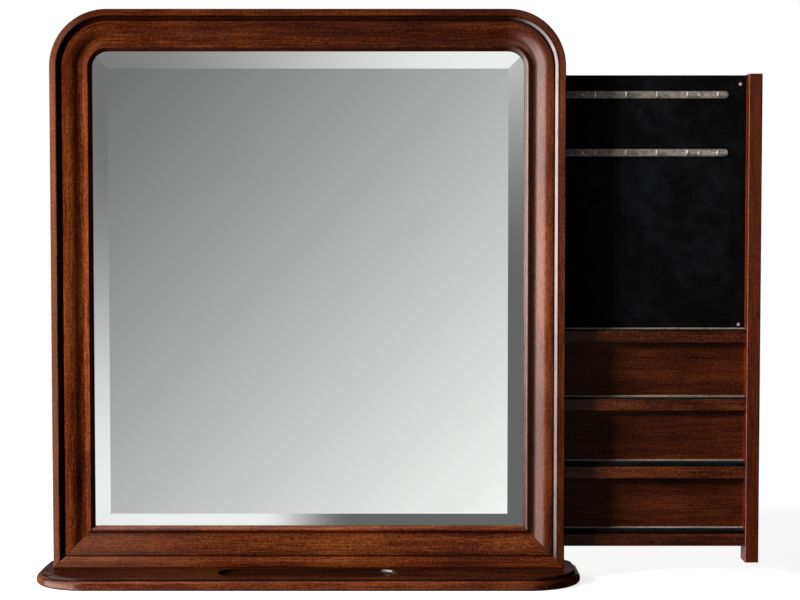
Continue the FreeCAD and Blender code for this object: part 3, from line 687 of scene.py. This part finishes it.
def metal(name, pale, deep, rough, stretch, flakes=0.0, dulled=0.0):
    """A metal with lines stretched along the axes by counts per metre. A matt plating may dull it."""
    material, finish = new_finish(name)
    x, y, z = finish.place()
    lines = finish.noise(finish.vector(x * stretch[0], y * stretch[1], z * stretch[2]), 3.0)
    stains = finish.noise(finish.grid(x, y, z, STAINS_PER_METRE), 3.0)
    place = finish.vector(x, y, z)
    spangle = finish.node("TexVoronoi", sockets={"Vector": place, "Scale": FLAKES_PER_METRE})
    flake = finish.node("SeparateColor", sockets={0: spangle.output("Color")})
    tone = finish.rise(lines * 0.6 + stains * 0.4 + (flake - 0.5) * flakes, 0.30, 0.70)
    finish.surface(
        Base_Color=finish.mix(tone, deep, pale),
        Metallic=1.0 - dulled,
        Specular_IOR_Level=0.5 - 0.45 * dulled,
        Roughness=rough + (1 - tone) * 0.16,
        Normal=finish.bump(lines, BRUSH_RELIEF, 0.6),
    )
    return material


print(f"brush lines are up to {BRUSH_RELIEF * 1000} mm deep")

# %% The metals of this mirror
strip_steel = metal("strip_steel", colour(0.27, 0.245, 0.210), colour(0.15, 0.135, 0.115),
                    rough=0.34, stretch=(30, 900, 2400), flakes=0.4, dulled=0.9)
hook_steel = metal("hook_steel", colour(0.56, 0.53, 0.48), colour(0.36, 0.34, 0.30),
                   rough=0.34, stretch=(900, 900, 300), dulled=0.85)
slide_zinc = metal("slide_zinc", colour(0.62, 0.63, 0.64), colour(0.44, 0.45, 0.47),
                   rough=0.30, stretch=(60, 700, 700), flakes=0.5)
screw_zinc = metal("screw_zinc", colour(0.60, 0.59, 0.55), colour(0.36, 0.35, 0.32),
                   rough=0.26, stretch=(800, 800, 800))
cage_steel = metal("cage_steel", colour(0.46, 0.46, 0.45), colour(0.28, 0.27, 0.26),
                   rough=0.34, stretch=(90, 900, 900))
ball_steel = metal("ball_steel", colour(0.80, 0.80, 0.80), colour(0.66, 0.66, 0.66),
                   rough=0.06, stretch=(700, 700, 700))
brass = metal("brass", colour(0.76, 0.55, 0.22), colour(0.46, 0.31, 0.11),
              rough=0.22, stretch=(400, 3000, 400))
dress(hook_steel, "upper_hooks", "lower_hooks")
dress(slide_zinc, "backing_clips", *(f"{level}_{member}_member" for level in ("upper", "lower")
                                     for member in ("outer", "middle", "inner")))
dress(screw_zinc, "clip_screws", "outer_slide_screws", "inner_slide_screws")
dress(cage_steel, "outer_ball_cages", "inner_ball_cages")
dress(ball_steel, "outer_balls", "inner_balls")
dress(brass, "support_inserts")
print("metals are dressed")

# %% [markdown]
# ## Working by hand, in code
# The new pieces are modelled with the same operators that a hand uses in the viewport: add a cube or
# cylinder at its size and place, pick faces or edges, then bevel, inset or extrude. Picking is done by a
# test on each face or edge, since nobody clicks here.

# %% Helpers for picking
def deselect():
    """Leaves edit mode and deselects every object."""
    if bpy.context.mode != "OBJECT":
        bpy.ops.object.mode_set(mode="OBJECT")
    bpy.ops.object.select_all(action="DESELECT")


def take(piece):
    """Makes one piece the only selected and active object."""
    deselect()
    piece.select_set(True)
    bpy.context.view_layer.objects.active = piece


def pick(kind, wanted):
    """Selects the vertices, edges or faces of the piece in edit mode that pass a test."""
    bpy.ops.mesh.select_mode(type=kind)
    bpy.ops.mesh.select_all(action="DESELECT")
    mesh = bpy.context.object.data
    edited = bmesh.from_edit_mesh(mesh)
    items = {"VERT": edited.verts, "EDGE": edited.edges, "FACE": edited.faces}[kind]
    for item in items:
        item.select_set(bool(wanted(item)))
    edited.select_flush_mode()
    bmesh.update_edit_mesh(mesh)


deselect()
print(f"{len(bpy.context.selected_objects)} objects are selected")

# %% Helpers for making and finishing
SMOOTH_ANGLE = math.radians(35)


def add_block(name, low, high):
    """A cube primitive that fills the box between two corners."""
    deselect()
    sides = [top - bottom for bottom, top in zip(low, high)]
    middle = [(bottom + top) / 2 for bottom, top in zip(low, high)]
    bpy.ops.mesh.primitive_cube_add(size=1, location=middle, scale=sides)
    block = bpy.context.object
    block.name = name
    bpy.ops.object.transform_apply(location=True, rotation=True, scale=True)
    return block


def use_modifier(piece, kind, **settings):
    """Adds a modifier to a piece and applies it at once."""
    take(piece)
    modifier = piece.modifiers.new(kind.lower(), kind)
    for name, value in settings.items():
        setattr(modifier, name, value)
    bpy.ops.object.modifier_apply(modifier=modifier.name)


def settle(piece, body, material, slot, *replaced):
    """Finishes a piece: its place in its mesh, smooth shading, a finish, and the body it rides on."""
    take(piece)
    bpy.ops.object.transform_apply(location=True, rotation=True, scale=True)
    bpy.ops.object.shade_smooth_by_angle(angle=SMOOTH_ANGLE)
    piece.data.materials.clear()
    piece.data.materials.append(material)
    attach(piece, body)
    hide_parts(*replaced)
    print(f"{piece.name}: {len(piece.data.polygons)} faces on {body}, for {', '.join(replaced)}")


print(f"edges flatter than {math.degrees(SMOOTH_ANGLE):.0f} degrees are shaded smooth")

# %% [markdown]
# ## Black felt
# Felt swallows nearly all light. What shows is a slightly blue mottling where the nap lies another way,
# a soft sheen at a slant, and a few pale bits of lint. The colour stays near black, and the fibres come
# from very fine noise in the bump.

# %% Felt finish
FELT_DEEP = colour(0.0026, 0.0025, 0.0025)
FELT_NAP = colour(0.0110, 0.0118, 0.0132)
LINT = colour(0.30, 0.31, 0.32)
LIE_PER_METRE = 9.0
NAP_PER_METRE = 34.0
FIBRES_PER_METRE = 520.0
LINT_CELLS_PER_METRE = 200.0
LINT_RADIUS = 0.16
LINT_SHARE = 0.05
FIBRE_RELIEF = 0.0006
felt, finish = new_finish("black_felt")
x, y, z = finish.place()
lie = finish.noise(finish.grid(x, y, z, LIE_PER_METRE))
nap = finish.noise(finish.grid(x, y, z, NAP_PER_METRE), 4.0)
fibre = finish.noise(finish.grid(x, y, z, FIBRES_PER_METRE), 3.0)
worn = finish.rise(lie * 0.4 + nap * 0.3 + fibre * 0.3, 0.38, 0.64)
lint = finish.dots(finish.grid(x, y, z, LINT_CELLS_PER_METRE), LINT_RADIUS, LINT_SHARE)
finish.surface(
    Base_Color=finish.mix(lint * 0.35, finish.mix(worn, FELT_DEEP, FELT_NAP), LINT),
    Roughness=0.88 + fibre * 0.12,
    Specular_IOR_Level=0.01,
    Sheen_Weight=0.03,
    Sheen_Roughness=0.4,
    Normal=finish.bump(fibre, FIBRE_RELIEF, 0.7),
)
print(f"felt with {FIBRES_PER_METRE:.0f} fibres per metre")

# %% [markdown]
# ## Felt facing of the hanging board
# A felt sheet is stretched over the upper half of the slide-out and glued down. A flat box would look
# like painted board, so its front is divided finely and lifted here and there by a fraction of a
# millimetre, and its edges are turned over softly.

# %% Felt facing
NAP_LIFT = 0.0005
LIFT_SIZE = 0.03
FACING_TURN = 0.0011
FACING_CUTS = 40


def soften(piece, turn, cuts):
    """Turns the edges of a felt block over and lets its broad faces wander a little."""
    take(piece)
    broad = max(face.area for face in piece.data.polygons)
    bpy.ops.object.mode_set(mode="EDIT")
    bpy.ops.mesh.select_all(action="SELECT")
    bpy.ops.mesh.bevel(offset=turn, segments=3, affect="EDGES")
    pick("FACE", lambda face: face.calc_area() > broad / 2)
    bpy.ops.mesh.subdivide(number_cuts=cuts)
    bpy.ops.object.mode_set(mode="OBJECT")
    clouds = bpy.data.textures.new(f"{piece.name}_clouds", "CLOUDS")
    clouds.noise_scale = LIFT_SIZE
    use_modifier(piece, "DISPLACE", texture=clouds, texture_coords="LOCAL", mid_level=0.5,
                 strength=NAP_LIFT)


low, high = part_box("felt_board")
facing = add_block("felt_facing", low + Vector((0, NAP_LIFT, 0)), high)
soften(facing, FACING_TURN, FACING_CUTS)
settle(facing, "slide_out", felt, "felt", "felt_board")

# %% [markdown]
# ## Felt liners of the upper shelves
# Thin strips of the same felt lie on the two upper shelves. They are cut to the shelf and only
# rounded by their own softness.

# %% Felt liners
LINER_TURN = 0.0009
LINER_CUTS = 24
for number in (1, 2):
    low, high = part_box(f"felt_liner_{number}")
    liner = add_block(f"shelf_felt_{number}", low, high - Vector((0, 0, NAP_LIFT)))
    soften(liner, LINER_TURN, LINER_CUTS)
    settle(liner, "slide_out", felt, "felt", f"felt_liner_{number}")

# %% [markdown]
# ## Padded rests of the lower shelves
# The two lower shelves carry a soft roll of felt over foam, so that watches and bracelets don't knock.
# A cloth simulation makes it: a slim block is given pressure from inside and swells. How far a point may
# move is capped, and the box of the solid stops it where shelf, back and sides would.

# %% Padded rests by cloth simulation
PAD_SLACK = 0.0014
PAD_SWELL = 0.0018
PAD_VOXEL = 0.0026
PRESSURE = 4.0
LAST_FRAME = 20


def inflate(piece, low, high):
    """Swells a piece by pressure, within a cap and within a box."""
    take(piece)
    before = [vertex.co.copy() for vertex in piece.data.vertices]
    cloth = piece.modifiers.new("cloth", "CLOTH")
    cloth.settings.use_pressure = True
    cloth.settings.uniform_pressure_force = PRESSURE
    cloth.settings.effector_weights.gravity = 0.0
    cloth.point_cache.frame_end = LAST_FRAME
    for step in range(1, LAST_FRAME + 1):
        bpy.context.scene.frame_set(step)
    bpy.ops.object.modifier_apply(modifier=cloth.name)
    bpy.context.scene.frame_set(1)
    for vertex, start in zip(piece.data.vertices, before):
        move = vertex.co - start
        if move.length > PAD_SWELL:
            move *= PAD_SWELL / move.length
        swollen = start + move
        vertex.co = [min(max(value, least), most) for value, least, most in zip(swollen, low, high)]


low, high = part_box("felt_pad_3")
slack = Vector((PAD_SLACK, PAD_SLACK, PAD_SLACK))
pad = add_block("shelf_pad_3", low + slack, high - slack)
use_modifier(pad, "REMESH", mode="VOXEL", voxel_size=PAD_VOXEL)
inflate(pad, low, high)
use_modifier(pad, "SMOOTH", factor=0.5, iterations=3)
use_modifier(pad, "SUBSURF", levels=1, render_levels=1)
take(pad)
bpy.ops.object.duplicate(linked=False)
second_pad = bpy.context.object
second_pad.name = "shelf_pad_4"
bpy.ops.transform.translate(value=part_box("felt_pad_4")[0] - low)
for number, piece in ((3, pad), (4, second_pad)):
    settle(piece, "slide_out", felt, "felt", f"felt_pad_{number}")

# %% [markdown]
# ## Hook strips
# Each strip is a steel bar with round ends and a narrow rim round a slightly sunken face. It starts as a
# block whose four short upright edges are bevelled to half circles. The face is then inset and pushed
# back, and the rim gets a small bevel that catches the light.

# %% Hook strips
RIM_WIDTH = 0.0011
RIM_DROP = 0.0003
RIM_BEVEL = 0.0003
ROUND_STEPS = 12
END_ROUNDING = 0.4999
TOUCH = 1e-6


def is_front(face):
    return face.normal.y < -0.9


for level in ("upper", "lower"):
    low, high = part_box(f"{level}_hook_strip")
    strip = add_block(f"{level}_strip", low, high)
    bpy.ops.object.mode_set(mode="EDIT")
    pick("EDGE", lambda edge: abs((edge.verts[0].co - edge.verts[1].co).y) > (high.y - low.y) / 2)
    bpy.ops.mesh.bevel(offset=(high.z - low.z) * END_ROUNDING, segments=ROUND_STEPS, affect="EDGES")
    pick("FACE", is_front)
    bpy.ops.mesh.inset(thickness=RIM_WIDTH, depth=-RIM_DROP)
    pick("EDGE", lambda edge: all(vertex.co.y < low.y + TOUCH for vertex in edge.verts)
         and len({is_front(face) for face in edge.link_faces}) == 2)
    bpy.ops.mesh.bevel(offset=RIM_BEVEL, segments=2, affect="EDGES")
    settle(strip, "slide_out", strip_steel, "strip_steel", f"{level}_hook_strip")

# %% [markdown]
# ## Screw heads
# A pan head is a short cylinder with a rounded rim, and a flat head is a cone that fills its
# countersink. Both have a cross recess. The recess could be drawn with edges, but cutting it with a
# cross-shaped block is quicker and gives clean walls. Each head is made once and copied.

# %% A cross recess
CROSS_REACH = 0.55
CROSS_WIDTH = 0.24


def cut_cross(head, radius, depth):
    """Cuts a cross into a head whose top lies at the origin and faces -Y."""
    half = CROSS_WIDTH * radius / 2
    cutter = add_block("cross_cutter", (-half, -depth, -half), (half, depth, half))
    bpy.ops.object.mode_set(mode="EDIT")
    pick("FACE", lambda face: abs(face.normal.y) < 0.5)
    reach = CROSS_REACH * radius - half
    bpy.ops.mesh.extrude_faces_move(TRANSFORM_OT_shrink_fatten={"value": reach})
    bpy.ops.mesh.select_all(action="SELECT")
    bpy.ops.mesh.normals_make_consistent(inside=False)
    deselect()
    use_modifier(head, "BOOLEAN", operation="DIFFERENCE", object=cutter, solver="EXACT")
    bpy.data.objects.remove(cutter)


print(f"the cross reaches over {CROSS_REACH:.0%} of a head's radius")

# %% The two heads
HEAD_CORNERS = 28
PAN_ROUNDING = 0.55
PAN_CROSS = 0.5
FLAT_CROSS = 0.8


def pan_head(radius, height):
    """A pan head that faces -Y, with the middle of its top at the origin."""
    deselect()
    bpy.ops.mesh.primitive_cylinder_add(
        vertices=HEAD_CORNERS, radius=radius, depth=height, location=(0, height / 2, 0),
        rotation=(math.pi / 2, 0, 0))
    head = bpy.context.object
    bpy.ops.object.transform_apply(location=True, rotation=True, scale=True)
    bpy.ops.object.mode_set(mode="EDIT")
    pick("FACE", is_front)
    bpy.ops.mesh.bevel(offset=height * PAN_ROUNDING, segments=4, affect="EDGES")
    deselect()
    cut_cross(head, radius, height * PAN_CROSS)
    return head


def flat_head(radius, depth):
    """A countersunk head that faces -Y, with the middle of its top at the origin."""
    deselect()
    bpy.ops.mesh.primitive_cone_add(
        vertices=HEAD_CORNERS, radius1=radius, radius2=radius - depth, depth=depth,
        location=(0, depth / 2, 0), rotation=(-math.pi / 2, 0, 0))
    head = bpy.context.object
    bpy.ops.object.transform_apply(location=True, rotation=True, scale=True)
    cut_cross(head, radius, depth * FLAT_CROSS)
    return head


print(f"heads have {HEAD_CORNERS} corners")

# %% Copies of a head at its places
def spread(head, name, places, turn=0.0, axis="X"):
    """Copies a head to its places, turned about the origin, as one piece."""
    copies = []
    for place in places:
        take(head)
        bpy.ops.object.duplicate(linked=False)
        if turn:
            bpy.ops.transform.rotate(value=turn, orient_axis=axis, center_override=(0, 0, 0))
        bpy.ops.transform.translate(value=place)
        copies.append(bpy.context.object)
    deselect()
    for copy in copies:
        copy.select_set(True)
    bpy.context.view_layer.objects.active = copies[0]
    bpy.ops.object.join()
    joined = bpy.context.object
    joined.name = name
    bpy.data.objects.remove(head)
    print(f"{name}: {len(places)} heads")
    return joined


print("a head can be copied to its places")

# %% [markdown]
# ## Where the screws sit
# Two pan heads hold each hook strip and four more hold the felt board. On the back, flat heads hold the
# back board, and others come up through the base and through the panel into the shelves. The places are
# those of the drawn screws, so heads and holes agree.

# %% Pan heads
PAN_RADIUS = 0.0033
PAN_HEIGHT = 0.0014
STRIP_FRONT = 0.0565
STRIP_SCREWS_X = (0.554, 0.790)
STRIP_SCREWS_Z = (0.9787, 0.8617)
FACING_FRONT = 0.058
FELT_SCREWS_X = (0.471, 0.873)
FELT_SCREWS_Z = (1.000, 0.5131)
strip_places = [(x, STRIP_FRONT - PAN_HEIGHT, z) for x in STRIP_SCREWS_X for z in STRIP_SCREWS_Z]
felt_places = [(x, FACING_FRONT - PAN_HEIGHT, z) for x in FELT_SCREWS_X for z in FELT_SCREWS_Z]
heads = spread(pan_head(PAN_RADIUS, PAN_HEIGHT), "strip_screw_heads", strip_places)
settle(heads, "slide_out", hook_steel, "strip_steel", "strip_screws")
heads = spread(pan_head(PAN_RADIUS, PAN_HEIGHT), "felt_screw_heads", felt_places)
settle(heads, "slide_out", hook_steel, "strip_steel", "felt_board_screws")

# %% Flat heads
BOARD_HEAD = 0.004
BASE_HEAD = 0.005
HEAD_DEPTH = 0.0022
BACK_REAR = 0.0847
BACK_SIDE_X = -0.506
BACK_TOP_Z = 1.136
BACK_FOOT_Z = 0.034
PANEL_REAR = 0.066
SHELF_SCREWS_X = (0.489, 0.675, 0.861)
BASE_SCREWS_Y = 0.05235


def spaced(first, gap, count):
    """A row of measures with an even gap."""
    return [first + gap * step for step in range(count)]


back_side_row = spaced(first=0.070, gap=0.22875, count=5)
back_top_row = spaced(first=-0.355, gap=0.71 / 3, count=4)
back_foot_row = spaced(first=-0.470, gap=0.22775, count=5)
shelf_row = spaced(first=0.0745, gap=0.1382, count=4)
base_row = spaced(first=-0.425, gap=0.20525, count=5)
back_places = [(BACK_SIDE_X, BACK_REAR, z) for z in back_side_row]
back_places += [(x, BACK_REAR, BACK_TOP_Z) for x in back_top_row]
back_places += [(x, BACK_REAR, BACK_FOOT_Z) for x in back_foot_row]
shelf_places = [(x, PANEL_REAR, z) for x in SHELF_SCREWS_X for z in shelf_row]
base_places = [(x, BASE_SCREWS_Y, 0.0) for x in base_row]
heads = spread(flat_head(BOARD_HEAD, HEAD_DEPTH), "back_screw_heads", back_places, math.pi, "Z")
settle(heads, "case", screw_zinc, "screw_zinc", "back_screws")
heads = spread(flat_head(BOARD_HEAD, HEAD_DEPTH), "shelf_screw_heads", shelf_places, math.pi, "Z")
settle(heads, "slide_out", screw_zinc, "screw_zinc", "shelf_screws")
heads = spread(flat_head(BASE_HEAD, HEAD_DEPTH), "base_screw_heads", base_places, -math.pi / 2, "X")
settle(heads, "case", screw_zinc, "screw_zinc", "base_screws")

# %% [markdown]
# ## The floor
# The mirror was photographed on plain white. A pale floor disc catches a soft shadow, and towards its
# rim it turns into pure white, so that no horizon shows. It is left out of reflections, because the
# glass should mirror the studio and not the floor.

# %% Floor
FLOOR_RADIUS = 4.0
FLOOR_COLOUR = colour(0.80, 0.80, 0.80)
FLOOR_LIFT = 0.80
FLOOR_MIDDLE = 0.2
FLOOR_HEIGHT = -0.0005
FADE_TO_WHITE = (1.2, 2.4)
WHITE = colour(1.0, 1.0, 1.0)
deselect()
bpy.ops.mesh.primitive_circle_add(
    vertices=64, radius=FLOOR_RADIUS, fill_type="NGON", location=(FLOOR_MIDDLE, 0, FLOOR_HEIGHT))
floor = bpy.context.object
floor.name = "studio_floor"
bpy.ops.object.transform_apply(location=True, rotation=True, scale=True)
floor.visible_glossy = False
floor.visible_diffuse = False
material, finish = new_finish("studio_floor")
x, y, z = finish.place()
sideways = x - FLOOR_MIDDLE
from_middle = (sideways * sideways + y * y) ** 0.5
matt = finish.node("BsdfDiffuse", sockets={"Color": FLOOR_COLOUR})
lift = finish.node("Emission", sockets={"Color": WHITE, "Strength": FLOOR_LIFT})
lit = finish.node("AddShader", sockets={0: matt, 1: lift})
white = finish.node("Emission", sockets={"Color": WHITE, "Strength": 1.0})
seen = finish.node("LightPath", output="Is Camera Ray")
faded = finish.node("MixShader", sockets={0: finish.rise(from_middle, *FADE_TO_WHITE), 1: lit, 2: white})
shown = finish.node("MixShader", sockets={0: seen, 1: matt, 2: faded})
finish.node("OutputMaterial", sockets={"Surface": shown})
floor.data.materials.append(material)
print(f"floor of {FLOOR_RADIUS} m radius")

# %% [markdown]
# ## The studio round the mirror
# Most of what a mirror shows is what stands before it. Here that is a grey studio wall that brightens
# towards the lower right, with two paler panels that only the bevel shows. The lacquer also has the soft
# box far to the left, which draws its bright lines, and a dark right side. The glass doesn't: from the side
# it would turn all white or black. It gives perfectly sharp reflections, and by that the world tells it
# apart. The camera sees plain white past the object, and matt surfaces get a low even light.

# %% The studio wall
WALL_GREY = 0.735
WALL_SLOPE = 1.19
PANELS_LEFT = 0.05
PANELS_DOWN = 0.04
UPPER_PANEL = ((0.0, 0.75), (2.15, 1.20))
LOWER_PANEL = ((-0.35, 0.43), (1.66, 1.47))
PANEL_WHITE = 0.97
DIM_GREY = 0.41
DIM_LIFT = 0.05
DIM_LEFT = (-0.10, -0.20)
BEVEL_VIEW = (0.17, 0.24)
TOP_GREY = 0.55
OVERHEAD = (0.45, 0.65)
BACK_GREY = 0.92
BEHIND = (-0.15, 0.10)
LEFT_GREY = 0.72
LEFT_SIDE = (-0.40, -0.62)
RIGHT_GREY = 0.38
RIGHT_SIDE = (0.30, 0.50)


def fade(grey, other, share):
    """One grey that turns into another."""
    return grey + (other - grey) * share


world = bpy.data.worlds.new("studio")
bpy.context.scene.world = world
finish = Finish(world)
direction = finish.node("TexCoord", output="Generated")
axes = finish.node("SeparateXYZ", sockets={0: direction})
x, y, z = [axes.output(axis) for axis in "XYZ"]
wall = WALL_GREY + x * WALL_SLOPE - z * WALL_SLOPE
side = x + PANELS_LEFT
height = z + PANELS_DOWN
turn = x.math("ARCTAN2", height, side)
opposite = x.math("ARCTAN2", 0 - height, 0 - side)
upper_panel = finish.between(turn, *UPPER_PANEL)
lower_panel = finish.between(opposite, *LOWER_PANEL)
dim = DIM_GREY + DIM_LIFT * finish.rise(x, *DIM_LEFT)
panels = fade(dim, PANEL_WHITE, finish.larger(upper_panel, lower_panel))
apart = (side * side + height * height) ** 0.5
studio = fade(wall, panels, finish.rise(apart, *BEVEL_VIEW))
studio = fade(studio, TOP_GREY, finish.rise(z, *OVERHEAD))
studio = fade(studio, BACK_GREY, finish.rise(y, *BEHIND))
studio = fade(studio, LEFT_GREY, finish.rise(x, *LEFT_SIDE))
studio = fade(studio, RIGHT_GREY, finish.rise(x, *RIGHT_SIDE))
print(f"the studio fades to {LEFT_GREY} on the left and {RIGHT_GREY} on the right")

# %% The soft box, and what each kind of ray sees
AMBIENT = 0.06
SOFT_BOX_GLOW = 4.0
SOFT_BOX_START = (0.36, 0.54)
SOFT_BOX_END = (2.00, 1.70)
SOFT_BOX_RIM = 0.6
SOFT_BOX_HEIGHT = (0.50, 0.30)
DARK_GREY = 0.12
GREY_TO_LIGHT = 2.2
leftward = x.math("ARCTAN2", 0 - x, 0 - y)
soft_box_seen = finish.between(leftward, SOFT_BOX_START, SOFT_BOX_END)
soft_box_seen = soft_box_seen * fade(SOFT_BOX_RIM, 1.0, finish.rise(abs(z), *SOFT_BOX_HEIGHT))
unlit = fade(studio, DARK_GREY, finish.rise(x, *RIGHT_SIDE))
beside = fade(unlit, SOFT_BOX_GLOW, soft_box_seen)
rays = finish.node("LightPath", output="Is Camera Ray")
plain = finish.larger(rays, rays.output("Is Transmission Ray"))
glow = fade(AMBIENT, beside ** GREY_TO_LIGHT, rays.output("Is Glossy Ray"))
glow = fade(glow, studio ** GREY_TO_LIGHT, rays.output("Is Singular Ray"))
glow = fade(glow, 1.0, plain)
background = finish.node("Background", sockets={"Color": glow, "Strength": 1.0})
finish.node("OutputWorld", sockets={"Surface": background})
print(f"world with an even light of {AMBIENT}")

# %% [markdown]
# ## Lamps and camera
# The long soft shadow of the frame on the slide-out gives the main light away: a soft box far to the
# left and a little in front. The world already shows its reflection, so the lamp itself is left out of
# reflections. A weaker one behind on the left lights the back. The camera stands 3.6 m away with a long
# lens, so that the uprights stay nearly parallel.

# %% Lamps
AIM = Vector((0.15, 0.0, 0.55))


def soft_box(name, place, size, power):
    """A square area lamp that faces the mirror."""
    lamp = bpy.data.lights.new(name, "AREA")
    lamp.size = size
    lamp.energy = power
    box = bpy.data.objects.new(name, lamp)
    bpy.context.scene.collection.objects.link(box)
    box.location = place
    box.rotation_euler = (AIM - Vector(place)).to_track_quat("-Z", "Y").to_euler()
    print(f"{name}: {power} W at {place}")
    return box


main_light = soft_box("main_light", place=(-3.4, -1.7, 1.7), size=1.0, power=320.0)
main_light.visible_glossy = False
soft_box("rear_light", place=(-1.8, 2.6, 1.8), size=1.5, power=35.0)

# %% Camera
LENS = 81.0
SENSOR_WIDTH = 36.0
CAMERA_PLACE = (0.184, -3.6, 0.734)
DOWNWARD = 2.68
lens = bpy.data.cameras.new("camera")
lens.lens = LENS
lens.sensor_width = SENSOR_WIDTH
camera = bpy.data.objects.new("camera", lens)
bpy.context.scene.collection.objects.link(camera)
camera.location = CAMERA_PLACE
camera.rotation_euler = (math.radians(90 - DOWNWARD), 0.0, 0.0)
bpy.context.scene.camera = camera
bpy.context.scene.view_settings.view_transform = "Standard"
print(f"camera with a {LENS} mm lens")
